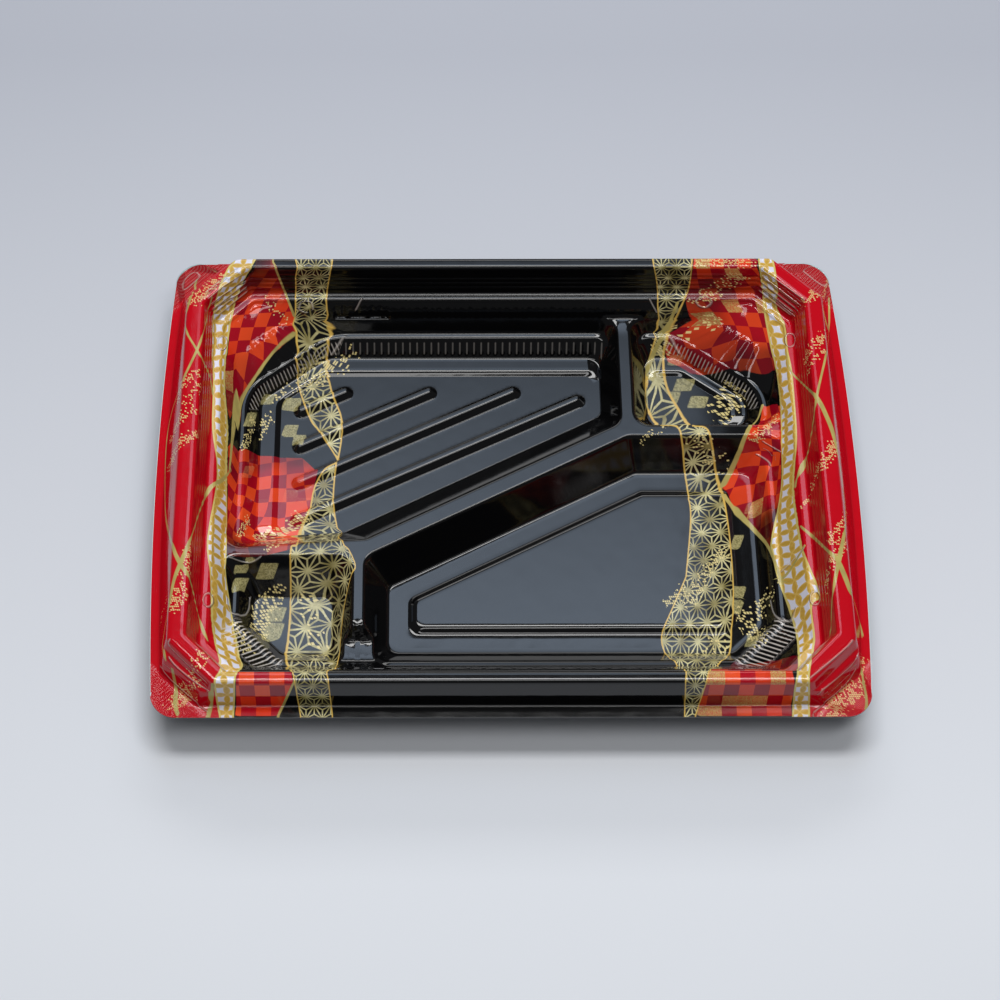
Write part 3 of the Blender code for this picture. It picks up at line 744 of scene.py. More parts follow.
def triangulated(loops, lines, inner):
    """A constrained triangulation of the area inside the first loop and outside the others."""
    places, drops, edges, outlines = [], [], [], []
    for loop in loops:
        outlines.append(list(range(len(places), len(places) + len(loop))))
        places += [Vector(point[:2]) for point in loop]
        drops += [point[2] for point in loop]
    for line in lines:
        start = len(places)
        places += [Vector(point[:2]) for point in line]
        drops += [point[2] for point in line]
        edges += [(start + i, start + i + 1) for i in range(len(line) - 1)]
    for x, y, drop in inner or []:
        places.append(Vector((x, y)))
        drops.append(drop)
    found, _, faces, sources, _, owners = delaunay_2d_cdt(places, edges, outlines, 0, MERGE)
    points = [(place.x, place.y, drops[source[0]]) for place, source in zip(found, sources)]
    kept = [list(face) for face, owner in zip(faces, owners) if list(owner) == [0]]
    return np.array(points), kept


def wall_bridges(compartments, stacks):
    """Lines that carry the side wall across the end of each divider."""
    ends = {}
    for sides, stack in zip(compartments, stacks):
        for i, side in enumerate(sides):
            before = sides[i - 1]
            walled = [each.kind.endswith("wall") for each in (before, side)]
            if "divider" in (before.kind, side.kind) and any(walled):
                arc = np.flatnonzero(stack.owners == i - 0.5)
                spot, wall = (arc[-1], side) if walled[1] else (arc[0], before)
                end = (*stack.places[-1, spot], stack.drops[-1, spot])
                ends.setdefault(round(math.degrees(wall.angle)), []).append(end)
    bridges = []
    for first, last in ends.values():
        first, last = np.array(first), np.array(last)
        pieces = max(2, round(float(np.linalg.norm(last - first)) / BRIDGE_STEP))
        bridges.append([tuple(first + (last - first) * part) for part in np.linspace(0.0, 1.0, pieces)])
    return bridges


def rim_carried(stack):
    """What the rim's points carry: how the film spread there, the grooves, and the cut edge's painted
    highlight.
    """
    levels, count = stack.drops.shape
    top = int(np.argmax(stack.drops[:, 0] <= MERGE))
    outside = (np.arange(levels) < top).astype(float)
    spreads = outside[:, None, None] * stack.spokes[None]
    steps = np.linalg.norm(np.diff(stack.places[:, 0], axis=0), axis=1)
    falls = np.diff(stack.drops[:, 0])
    depth = np.concatenate(([0.0], np.cumsum(np.hypot(steps, falls))))
    drops = stack.drops
    inner = (np.arange(levels) > top)[:, None]
    share = np.clip((drops - GROOVE_START) / GROOVE_BLEND, 0.0, 1.0)
    share = share * np.clip((GROOVE_END - drops) / GROOVE_BLEND, 0.0, 1.0) * inner
    share = share * np.where(np.round(stack.owners).astype(int) % 2 == 1, CORNER_GROOVES, 1.0)[None]
    grooves = np.stack((np.broadcast_to(depth[:, None], drops.shape), share), axis=-1)
    carved = share * GROOVE_DEPTH * np.cos(FULL_TURN * depth / GROOVE_PITCH)[:, None]
    flutes = np.stack((np.zeros(drops.shape), np.zeros(drops.shape), carved), axis=-1)
    # The cut edge is painted pale only on the lit sides and far corners, as a painted highlight.
    lit_sides = (np.abs(stack.places[0, :, 0]) > LIT_EDGE_FROM_X) & (stack.places[0, :, 1] > LIT_EDGE_FROM_Y)
    edges = np.where(lit_sides[None], LIT_EDGE_WIDTH - depth[:, None], 0.0)
    return {"spreads": spreads, "grooves": grooves, "flutes": flutes, "edges": edges}


def compartment_carried(sides, stack):
    """What a compartment's points carry: their flutes' place and depth, and how far each is raised."""
    total = len(sides)
    drops = stack.drops
    on_wall = np.arange(len(drops))[:, None] >= np.argmax(drops, axis=0)[None]
    rises = np.zeros((total,) + drops.shape)
    lower = np.floor(stack.owners).astype(int) % total
    upper = np.ceil(stack.owners).astype(int) % total
    phases = np.zeros(drops.shape)
    depths = np.zeros(drops.shape)
    for i, side in enumerate(sides):
        here = (lower == i) | (upper == i)
        tangent = np.array((-side.normal[1], side.normal[0]))
        for top, foot, pitch, depth in FLUTES.get(side.kind, ()):
            share = np.clip((drops - top) / FLUTE_BLEND, 0.0, 1.0) * on_wall
            share = share * np.clip((foot - drops) / FLUTE_BLEND, 0.0, 1.0)
            turns = np.broadcast_to(stack.along / pitch, drops.shape)
            if pitch < FAN_PITCH:
                turns = stack.places @ tangent / pitch
                phases[:, here] = turns[:, here]
                depths[:, here] = (share * depth)[:, here]
            rises[i] += share * depth * (0.5 + 0.5 * np.cos(FULL_TURN * turns))
    columns = np.arange(drops.shape[1])
    carved = 0.5 * (rises[lower, :, columns] + rises[upper, :, columns]).T
    return {"flutes": np.stack((phases, depths, carved), axis=-1)}


def tray_surface(fineness):
    """The tray's upper surface, drawn at the given fineness."""
    surface = Surface()
    rim = rim_stack(fineness)
    surface.add_stack(rim, True, rim_carried(rim))
    compartments = compartment_sides()
    stacks = [compartment_stack(sides, fineness) for sides in compartments]
    for sides, stack in zip(compartments, stacks):
        surface.add_stack(stack, False, compartment_carried(sides, stack))
    tops = [stack.outline(-1) for stack in stacks]
    lines = wall_bridges(compartments, stacks) + saddle_lines()
    surface.add_filling(rim.outline(-1), tops, lines, fineness.grid)
    ribs = [loop + loop[:1] for loop in rib_loops(compartments[0], fineness.step)]
    for stack, lines in zip(stacks, (ribs, [], [], [])):
        surface.add_filling(stack.outline(0), [], lines, fineness.grid)
    return surface


def film_coordinates(points, spreads):
    """Where each point lay on the flat film, in metres."""
    x, y, drop = points.T
    outside = np.abs(spreads).sum(axis=1) > 0.0
    u = x * (1.0 - FILM_SPREAD_X * drop / RIM_HALF_X)
    v = y * (1.0 - FILM_SPREAD_Y * drop / RIM_HALF_Y)
    u = np.where(outside, x + FILM_SPREAD_OUT * drop * spreads[:, 0], u)
    v = np.where(outside, y + FILM_SPREAD_OUT * drop * spreads[:, 1], v)
    return np.stack((u, v), axis=-1)


def settled_coordinates(mesh, start, held):
    """The film coordinates once the film has spread evenly between the points that hold it."""
    corners = triangle_corners(mesh)
    places = mesh_array(mesh.vertices, "co", 3)
    firsts, seconds, pulls = [], [], []
    for i in range(3):
        a, b, c = corners[:, i], corners[:, (i + 1) % 3], corners[:, (i + 2) % 3]
        first, second = places[b] - places[a], places[c] - places[a]
        area = np.maximum(np.linalg.norm(np.cross(first, second), axis=1), LEAST_AREA)
        firsts.append(b)
        seconds.append(c)
        pulls.append(np.clip(np.einsum("ij,ij->i", first, second) / area, *PULL_RANGE))
    first, second, pull = np.concatenate(firsts), np.concatenate(seconds), np.concatenate(pulls)
    order = np.argsort(np.concatenate((first, second)), kind="stable")
    rows = np.concatenate((first, second))[order]
    columns = np.concatenate((second, first))[order]
    weights = np.concatenate((pull, pull))[order]
    starts = np.flatnonzero(np.diff(rows, prepend=-1))
    sums = np.add.reduceat(weights, starts)
    free = (~held).astype(float)[:, None]

    def spring(values):
        pulled = np.add.reduceat(weights[:, None] * values[columns], starts, axis=0)
        return (sums[:, None] * values - pulled) * free

    found = start.copy()
    rest = -spring(found)
    step = rest / sums[:, None]
    energy = (rest * step).sum(axis=0)
    for _ in range(SETTLING_ROUNDS):
        pushed = spring(step)
        share = energy / (step * pushed).sum(axis=0)
        found += share * step
        rest -= share * pushed
        eased = rest / sums[:, None]
        after = (rest * eased).sum(axis=0)
        step = eased + (after / energy) * step
        energy = after
    return found


def surface_mesh(name, surface):
    """The surface as mesh data, with the points that its parts share made one."""
    points = np.concatenate(surface.points)
    keys = np.round(points / (MERGE * 5.0)).astype(np.int64)
    _, first, place = np.unique(keys, axis=0, return_index=True, return_inverse=True)
    place = place.reshape(-1)
    faces = []
    for face in surface.faces:
        loop = []
        for i in face:
            j = int(place[i])
            if j not in loop:
                loop.append(j)
        if len(loop) > 2:
            faces.append(loop)
    kept = points[first]
    mesh = bpy.data.meshes.new(name)
    verts = np.column_stack((kept[:, 0], kept[:, 1], RIM_TOP - kept[:, 2]))
    mesh.from_pydata(verts.tolist(), [], faces)
    mesh.update()
    carried = {label: np.concatenate(parts)[first] for label, parts in surface.carried.items()}
    carried["points"] = kept
    return mesh, carried


def mesh_array(collection, name, width):
    """One property of all a mesh's points or faces as an array."""
    values = np.zeros(len(collection) * width, np.float32)
    collection.foreach_get(name, values)
    return values.reshape(-1, width).astype(float)


def triangle_corners(mesh):
    """The points at the corners of each of the mesh's triangles."""
    mesh.calc_loop_triangles()
    corners = np.zeros(len(mesh.loop_triangles) * 3, np.int32)
    mesh.loop_triangles.foreach_get("vertices", corners)
    return corners.reshape(-1, 3)


def lift_along_normals(mesh, amount):
    """Moves every point of the mesh along its own normal, by one amount or by each point's own."""
    normals = mesh_array(mesh.vertex_normals, "vector", 3)
    places = mesh_array(mesh.vertices, "co", 3)
    mesh.vertices.foreach_set("co", (places + normals * amount).astype(np.float32).ravel())
    mesh.update()


def add_number(mesh, name, values):
    """Stores one number at every point of the mesh."""
    attribute = mesh.attributes.new(name, "FLOAT", "POINT")
    attribute.data.foreach_set("value", np.asarray(values, np.float32))


def photo_camera():
    """The camera that took the photograph."""
    data = bpy.data.cameras.new("photo_camera")
    data.sensor_width = SENSOR
    data.lens = FOCAL_PIXELS / PHOTO_SIZE * SENSOR
    data.shift_x = 0.5 - AXIS_PIXEL_X / PHOTO_SIZE
    data.clip_start, data.clip_end = CAMERA_CLIP
    camera = bpy.data.objects.new("photo_camera", data)
    bpy.context.scene.collection.objects.link(camera)
    camera.location = CAMERA_EYE
    camera.rotation_mode = "QUATERNION"
    camera.rotation_quaternion = CAMERA_FORWARD.to_track_quat("-Z", "Y")
    bpy.context.scene.camera = camera


def plain_color(red, green, blue):
    """A screen colour, as numbers up to 255, for a shader."""
    shares = [part / 255.0 for part in (red, green, blue)]
    linear = [part / 12.92 if part <= 0.04045 else ((part + 0.055) / 1.055) ** 2.4 for part in shares]
    return (*linear, 1.0)


MILLIMETRE = 0.001
FILM_MAP = "OFBake"
FILM_SPAN_U = 0.281
FILM_SPAN_V = 0.2125

# How the print's traced lines are found on the film, and carried on past the tray's edges.
PIXEL_TRIES = 8
PIXEL_STEP = 0.7
FAR_PIXEL = 264
NEAR_PIXEL = 712
PAST_EDGE = 0.03
PAST_SIDE = 0.20
TONE_REACH = 0.0025
TILE_LEAN = 0.35
STROKE_REACH = 0.006
PRINT_LIMIT = 9.0
STROKE_LIMIT = 4.0
STREAK_CORE = 0.35
RING_POINTS = 13
CROSSING_LINES = (1, 7)

# The print's patterns, in millimetres on the flat film.
CRISP = 0.10
STAR_LINE = 0.27
STAR_LINE_CORE = 0.6
STAR_BORDER = 0.50
STAR_BORDER_CORE = 0.7
BELT_BORDER = 0.75
BELT_BORDER_CORE = 0.85
BELT_SWAY_SCALE = 0.09
BELT_SWAY = 3.0
PETAL_EDGE = (0.05, 0.17)
PETAL_OUTLINE = (0.22, 0.10)
GOLD_GRAIN_SCALE = 0.9
CHECK_SEED = 3.0
GILDED_FROM = 0.92
GILDED_SHARE = 0.80
LINE_SHARE = 0.75
LINE_SPREAD = 0.14
# Scale of the soft cloud that varies the reds' tone and mixes the gold with its painted shaded copy.
TONE_AND_SHADE_SCALE = 0.16
LEAF_GRAIN = 0.30
LEAF_SHADE = (0.38, 0.62)
LEAF_SPECK_SHARE = 0.30
TILE_SEED = 7.0
TILE_SHARE = 0.95
STREAK_SHARE = 0.8
FLECK_CELL = 0.70
FLECK_LEAN = 0.35
FLECK_SIDE = (0.42, 0.32)
FLECK_DENSITY = 0.72
FLECK_SHARE = 0.85
LIT_CUT_EDGE_SOFT = 0.12

# The film's relief in millimetres, and how strongly pale highlights are painted on its flute and groove
# crests, pressed lines and knurling.
RIDGE_HALF = 0.45
RIDGE_CREST = (0.8, 0.4)
RIDGE_RISE = 0.50
KNURL_PITCH = 0.85
KNURL_CROSSED = 0.5
KNURL_RISE = 0.12
RIPPLE_SCALE = 0.12
RIPPLE_RISE = 0.05
FLUTE_HIGHLIGHT = (0.16, 0.68)
FLUTE_HIGHLIGHT_SHARE = 0.75
GROOVE_HIGHLIGHT = (0.95, 3.0)
GROOVE_HIGHLIGHT_SHARE = 0.45
RIDGE_HIGHLIGHT_SHARE = 0.45
KNURL_HIGHLIGHT = (0.5, 1.4)
KNURL_HIGHLIGHT_SHARE = 0.30

# Where the flange's corner tabs start outside the rim's foot, and how deep the near ones' knurling is.
TAB_FROM = 0.0012
TAB_NEAR_SHARE = 0.35

# The faces' gloss and grain, and how the film's map is carried over its edge.
FILM_IOR = 1.42
WEAR_SCALE = 0.5
WEAR_ROUGHNESS = 0.03
SHEET_IOR = 1.5
FLOW_SCALE = 60.0
FLOW_ROUGHNESS = 0.10
GRAIN_SCALE = 2200.0
GRAIN_SHARE = 0.3
GRAIN_DEPTH = 0.00008
GRAIN_STRENGTH = 0.4
STRIP_MAP_SHARE = 0.004

LEAF_SHADED = plain_color(128, 118, 70)
RED_DEEP = plain_color(180, 0, 18)
FLECK_GOLD = plain_color(224, 206, 140)
CHECK_SCARLET = plain_color(212, 48, 20)
CHECK_WINE = plain_color(138, 6, 30)
CHECK_SALMON = plain_color(206, 104, 66)
TILE_OLIVE = plain_color(112, 106, 66)
TILE_GOLD = plain_color(170, 162, 112)
# Painted highlight: the pale colour put on crests and pressed lines where the lamps would glint on them.
PAINTED_CREST_HIGHLIGHT = plain_color(222, 214, 206)
# Painted highlight: the cut edge drawn pale where the side lamps catch it.
LIT_CUT_EDGE = plain_color(196, 224, 226)
SHEET_WORN = plain_color(28, 28, 31)

# How a material's nodes are laid out in their editor.
NODES_HIGH = 8
NODE_TOP = 240.0
NODE_SPACING_X = 260.0
NODE_SPACING_Y = 170.0

# The studio: the floor's paint with its painted shade beyond the tray, the even surround, and each lamp's
# place and size.
FLOOR_PAINTED_SHADE_RANGE = (-0.15, 0.22)
FLOOR_SHADED = plain_color(0, 0, 0)
FLOOR_TONE_SCALE = 1.3
FLOOR_TONE_SHARE = 0.03
FLOOR_ROUGHNESS = 0.9
FLOOR_SPECULAR = 0.2
SURROUND_COLOR = (0.95, 0.97, 1.0, 1.0)
KEY_PLACE = (0.0, 0.27, 1.28)
KEY_SIZE = (0.8, 0.24)
FAR_PLACE = (0.0, 1.12, 0.90)
FAR_SIZE = (1.0, 0.30)
KEY_COLOR = (1.0, 1.0, 1.0)
FRONT_PLACE = (0.15, -0.31, 1.28)
FRONT_SIZE = (1.0, 0.20)
FILL_PLACE = (0.0, 0.70, 1.22)
FILL_SIZE = (0.50, 0.40)
FILL_FADE = (0.35, 1.8)
FILL_COLOR = (0.66, 0.80, 1.0)

# The print, traced as pixels of the photograph, each line from the far side of the tray to the near one.
LEFT_BELT_OUTER = (
    (232, 259), (218, 290), (212, 330), (213, 380), (212, 428), (217, 475), (207, 540), (210, 574),
    (211, 614), (214, 640), (220, 667), (214, 680), (216, 700), (219, 716),
)
LEFT_BELT_INNER = (
    (256, 259), (240, 290), (230, 330), (225, 380), (228, 425), (227, 475), (227, 540), (226, 574),
    (232, 614), (239, 654), (243, 666), (236, 676), (235, 700), (234, 716),
)
RIGHT_BELT_INNER = (
    (758, 259), (762, 290), (763, 305), (766, 325), (771, 350), (776, 370), (780, 404), (781, 440),
    (781, 487), (771, 540), (772, 552), (777, 577), (787, 605), (796, 635), (798, 660), (797, 674),
    (794, 690), (792, 716),
)
RIGHT_BELT_OUTER = (
    (774, 259), (778, 290), (776, 305), (785, 325), (788, 350), (792, 370), (795, 404), (797, 440),
    (794, 487), (801, 540), (806, 557), (820, 594), (812, 606), (815, 635), (814, 648), (810, 672),
    (810, 690), (810, 716),
)
LEFT_STAR_OUTER = (
    (295, 259), (295, 330), (297, 375), (299, 390), (310, 420), (319, 432), (336, 458), (336, 462),
    (324, 469), (314, 487), (309, 509), (299, 530), (296, 545), (290, 549), (290, 599), (288, 631),
    (285, 656), (287, 667), (292, 673), (294, 682), (300, 716),
)
LEFT_STAR_INNER = (
    (333, 259), (327, 300), (331, 330), (328, 360), (332, 390), (343, 422), (339, 459), (337, 463),
    (334, 497), (337, 523), (344, 544), (349, 549), (356, 566), (351, 577), (344, 610), (338, 664),
    (328, 671), (329, 682), (333, 716),
)
RIGHT_STAR_OUTER = (
    (693, 259), (690, 285), (685, 300), (678, 315), (672, 330), (665, 350), (665, 372), (669, 390),
    (679, 408), (690, 424), (706, 427), (712, 440), (717, 473), (722, 488), (726, 506), (730, 535),
    (733, 570), (734, 600), (732, 632), (729, 655), (711, 670), (707, 682), (696, 716),
)
RIGHT_STAR_INNER = (
    (652, 259), (657, 290), (656, 330), (651, 350), (646, 372), (645, 390), (646, 405), (655, 424),
    (676, 427), (681, 441), (684, 473), (688, 497), (690, 520), (686, 570), (684, 580), (671, 610),
    (661, 636), (666, 655), (684, 670), (685, 682), (684, 716),
)
CHECK_AREAS = (
    (
        (256, 261), (240, 290), (230, 330), (225, 380), (228, 421), (238, 420), (242, 400), (256, 376),
        (270, 356), (295, 332), (295, 318), (284, 290), (273, 261),
    ),
    (
        (228, 446), (227, 475), (227, 540), (227, 556), (262, 556), (291, 549), (296, 545), (299, 530),
        (309, 509), (314, 487), (318, 470), (302, 458), (262, 456), (240, 449),
    ),
    ((236, 672), (236, 682), (235, 716), (278, 716), (289, 690), (293, 682), (291, 672)),
    (
        (694, 261), (686, 300), (672, 332), (665, 352), (668, 362), (700, 375), (740, 371), (768, 374),
        (776, 370), (766, 325), (762, 290), (758, 261),
    ),
    (
        (762, 404), (748, 429), (735, 462), (722, 487), (734, 510), (757, 533), (771, 548), (781, 487),
        (781, 440), (780, 404),
    ),
    ((711, 670), (707, 682), (697, 716), (792, 716), (794, 690), (797, 670), (798, 655), (735, 661)),
)
# How strongly the checks show at listed pixels, from 0 to 1: partly the print fading into the ground, partly
# painted shade where the checks lie on the shaded slanted corners.
CHECK_TONES_AND_SHADE = (
    (247, 262, 0.05), (256, 280, 0.35), (270, 288, 0.6), (262, 305, 1.0), (240, 320, 1.0), (280, 325, 1.0),
    (236, 350, 1.0), (260, 355, 0.9), (235, 380, 0.75), (248, 385, 0.6), (232, 405, 0.5), (230, 450, 0.75),
    (262, 459, 0.55), (300, 462, 0.3), (300, 472, 0.75), (270, 480, 1.0), (235, 500, 1.0), (290, 520, 1.0),
    (260, 535, 1.0), (260, 550, 0.25), (240, 553, 0.15), (285, 549, 0.6), (250, 676, 1.0), (280, 690, 1.0),
    (730, 263, 1.0), (705, 263, 0.9), (752, 264, 1.0), (720, 285, 0.4), (750, 285, 0.7), (700, 300, 0.45),
    (740, 320, 1.0), (760, 330, 1.0), (690, 320, 0.8), (680, 345, 0.55), (710, 355, 0.5), (740, 365, 0.25),
    (768, 365, 0.4), (772, 410, 0.9), (760, 450, 1.0), (740, 480, 1.0), (770, 490, 0.95), (730, 500, 0.8),
    (745, 520, 0.6), (768, 525, 0.15), (740, 676, 1.0), (720, 700, 0.7), (780, 700, 0.9), (785, 655, 0.35),
    (740, 662, 0.25),
)
GOLD_LINES = (
    ((197, 279, 0.35), (187, 310, 0.3), (186, 330, 0.3), (197, 350, 0.35), (209, 374, 0.5), (213, 395, 0.4)),
    ((212, 296, 0.3), (204, 330, 0.3), (197, 350, 0.45), (183, 380, 0.3), (171, 415, 0.3), (166, 450, 0.3),
     (165, 500, 0.3), (167, 525, 0.75), (174, 550, 0.6), (180, 563, 0.9), (190, 580, 0.6), (197, 610, 0.35),
     (203, 630, 0.7), (208, 641, 0.25)),
    ((231, 470, 0.25), (222, 480, 0.4), (210, 488, 1.0), (200, 510, 0.4), (192, 535, 0.4), (181, 562, 0.9),
     (174, 580, 0.5), (168, 610, 0.35), (163, 640, 0.5), (163, 650, 0.9), (166, 661, 0.4)),
    ((172, 668, 0.7), (176, 690, 0.9), (175, 705, 0.8), (178, 716, 0.5)),
    ((213, 684, 0.9), (211, 697, 1.1), (212, 702, 0.4), (210, 709, 0.9), (208, 716, 0.9)),
    ((237, 393, 0.4), (235, 410, 0.6), (232, 440, 0.35), (230, 462, 0.35), (229, 470, 0.25)),
    ((829, 296, 0.3), (829, 330, 0.3), (826, 355, 0.3), (817, 395, 0.4), (812, 430, 0.35), (808, 452, 0.4),
     (803, 466, 1.3), (797, 478, 0.4), (795, 488, 0.3)),
    ((786, 352, 0.3), (790, 370, 0.4), (805, 386, 0.4), (817, 398, 0.9), (826, 415, 0.9), (835, 440, 0.7),
     (842, 480, 0.4), (846, 520, 0.4), (842, 545, 0.7), (839, 560, 0.9), (836, 575, 0.6), (832, 600, 0.3),
     (830, 635, 0.35), (821, 646, 0.25), (812, 655, 0.25)),
    ((800, 526, 0.3), (812, 536, 0.6), (828, 551, 0.5), (838, 561, 1.0), (850, 590, 0.8), (858, 615, 0.4),
     (863, 638, 0.5)),
    ((860, 658, 0.6), (863, 680, 0.9), (866, 695, 0.9), (867, 712, 0.7)),
    ((273, 262, 0.25), (284, 290, 0.25), (295, 318, 0.3)),
    ((295, 333, 0.3), (282, 343, 0.3), (270, 356, 0.3), (256, 376, 0.3), (242, 400, 0.35), (236, 425, 0.4)),
    ((646, 372, 0.3), (655, 350, 0.3), (668, 325, 0.3), (678, 302, 0.3)),
    ((763, 404, 0.35), (757, 420, 0.35), (748, 430, 0.6), (735, 462, 0.6), (722, 487, 0.5)),
    ((723, 494, 0.4), (735, 510, 0.6), (757, 533, 0.6), (770, 550, 0.5), (783, 585, 0.4)),
    ((294, 682, 0.3), (287, 697, 0.4), (278, 716, 0.4)),
    ((778, 583, 0.3), (790, 570, 0.3), (805, 545, 0.35)),
)
# Gold cut-outs on the black: the middle, the half width and half height, all in pixels.
GOLD_TILES = (
    (268, 399, 6, 5), (292, 404, 8, 6), (290, 431, 7, 6), (299, 440, 6, 5), (250, 420, 5, 7),
    (241, 569, 7, 4), (267, 571, 9, 8), (240, 585, 7, 7), (276, 614, 9, 7), (273, 631, 9, 8),
    (250, 560, 5, 3), (684, 385, 9, 6), (698, 402, 9, 6), (672, 398, 7, 6), (737, 542, 5, 7),
    (737, 592, 8, 6), (735, 607, 8, 7), (752, 641, 6, 6), (676, 360, 7, 5), (246, 678, 7, 4),
    (272, 681, 6, 4), (758, 676, 7, 5), (722, 676, 9, 4), (745, 470, 6, 5), (752, 508, 6, 6),
    (288, 502, 7, 12), (302, 506, 6, 8), (248, 472, 5, 6), (262, 505, 5, 6), (278, 300, 6, 5),
)
# Streaks of gold flecks: start, end, half width in millimetres and how thick the flecks lie.
GOLD_STREAKS = (
    (220, 278, 196, 300, 3.0, 0.9), (199, 296, 186, 306, 2.5, 0.6), (213, 270, 205, 283, 2.0, 0.5),
    (196, 373, 178, 399, 2.4, 0.9), (199, 385, 186, 402, 2.0, 0.5), (193, 410, 171, 440, 2.4, 0.7),
    (194, 435, 170, 465, 2.6, 0.95), (184, 418, 172, 438, 1.5, 0.8), (189, 548, 184, 575, 2.6, 0.8),
    (181, 588, 172, 606, 3.0, 0.9), (184, 594, 174, 604, 2.0, 0.9), (166, 600, 160, 625, 1.5, 0.4),
    (202, 655, 196, 668, 2.6, 0.8), (192, 674, 196, 683, 2.4, 0.8), (186, 688, 177, 704, 4.0, 0.95),
    (197, 700, 188, 694, 1.6, 0.5), (340, 362, 310, 380, 3.6, 0.6), (350, 366, 300, 392, 2.2, 0.5),
    (308, 372, 276, 398, 2.4, 0.5), (252, 420, 244, 447, 2.4, 0.9), (268, 418, 262, 434, 2.2, 0.8),
    (300, 516, 262, 540, 2.8, 0.8), (247, 520, 240, 534, 2.4, 0.8), (296, 540, 270, 548, 2.0, 0.6),
    (278, 592, 258, 630, 2.8, 0.9), (270, 600, 256, 616, 2.0, 0.9), (236, 625, 247, 650, 2.4, 0.8),
    (304, 600, 322, 655, 2.6, 0.4), (828, 280, 806, 300, 2.6, 0.8), (826, 335, 806, 360, 2.4, 0.8),
    (824, 350, 808, 372, 1.6, 0.6), (836, 443, 822, 466, 2.8, 0.9), (826, 455, 812, 490, 1.6, 0.5),
    (812, 486, 802, 506, 1.4, 0.4), (846, 515, 830, 540, 2.2, 0.8), (842, 545, 834, 560, 2.6, 0.8),
    (838, 548, 826, 590, 2.0, 0.5), (864, 660, 862, 690, 2.2, 0.7), (862, 690, 834, 712, 3.4, 0.95),
    (850, 684, 828, 716, 2.6, 0.8), (776, 418, 756, 438, 2.8, 0.8), (738, 392, 722, 412, 2.6, 0.9),
    (660, 428, 644, 440, 2.0, 0.6), (700, 440, 722, 470, 3.2, 0.4), (760, 640, 744, 618, 2.8, 0.9),
    (768, 596, 752, 616, 2.8, 0.8), (722, 552, 690, 600, 3.0, 0.7), (684, 590, 668, 604, 2.0, 0.8),
    (752, 262, 700, 262, 2.6, 0.8), (740, 276, 700, 300, 3.6, 0.55), (716, 318, 690, 332, 2.6, 0.45),
    (660, 352, 682, 330, 2.6, 0.5), (690, 655, 720, 645, 3.0, 0.5), (268, 300, 284, 318, 2.6, 0.4),
)

# Fine raised lines and rings pressed into the tray, each traced as pixels.
PRESSED_LINES = (
    ((762, 270), (778, 281), (805, 300)),
    ((762, 276), (778, 288), (801, 306)),
    ((762, 283), (777, 295), (798, 311)),
    ((763, 291), (777, 302), (794, 316)),
    ((213, 311), (229, 299), (247, 289)),
    ((211, 304), (227, 292), (246, 281)),
    ((208, 299), (224, 286), (243, 274)),
    ((205, 293), (220, 281), (238, 268)),
    ((170, 639), (171, 648), (208, 684)),
    ((168, 656), (178, 668), (208, 692)),
    ((160, 665), (171, 680), (208, 712)),
    ((853, 640), (845, 649), (810, 678)),
    ((859, 653), (850, 667), (817, 695)),
    ((857, 667), (845, 685), (813, 713)),
    ((362, 298), (358, 306), (354, 314)),
    ((343, 338), (337, 347), (331, 356)),
    ((649, 298), (653, 306), (658, 315)),
    ((671, 338), (675, 346), (680, 355)),
    ((226, 592), (230, 611), (246, 615), (251, 597)),
    ((770, 600), (775, 616), (790, 622), (796, 607)),
    ((180, 288), (186, 289), (192, 284), (200, 276), (195, 272), (187, 277), (180, 288)),
    ((803, 271), (808, 267), (817, 267), (825, 274), (829, 284), (820, 284), (803, 271)),
    ((228, 557), (249, 563), (262, 556)),
    ((804, 548), (792, 561), (781, 572)),
    ((762, 441), (772, 447), (781, 452)),
    ((756, 454), (768, 461), (771, 467)),
)
PRESSED_RINGS = (
    (222, 343, 5, 7), (790, 340, 5, 7), (208, 600, 5, 7), (815, 598, 5, 7),
    (306, 307, 8, 6), (704, 302, 8, 6),
)


def smooth_line(points, pieces=6):
    """A finer line that passes through all of the points without corners."""
    points = np.asarray(points, float)
    padded = np.concatenate((2.0 * points[:1] - points[1:2], points, 2.0 * points[-1:] - points[-2:-1]))
    line = []
    for a, b, c, d in zip(padded, padded[1:], padded[2:], padded[3:]):
        for t in np.arange(pieces) / pieces:
            bend = (c - a) * t + (2.0 * a - 5.0 * b + 4.0 * c - d) * t**2
            line.append(b + 0.5 * (bend + (3.0 * b - a - 3.0 * c + d) * t**3))
    line.append(points[-1])
    return np.array(line)


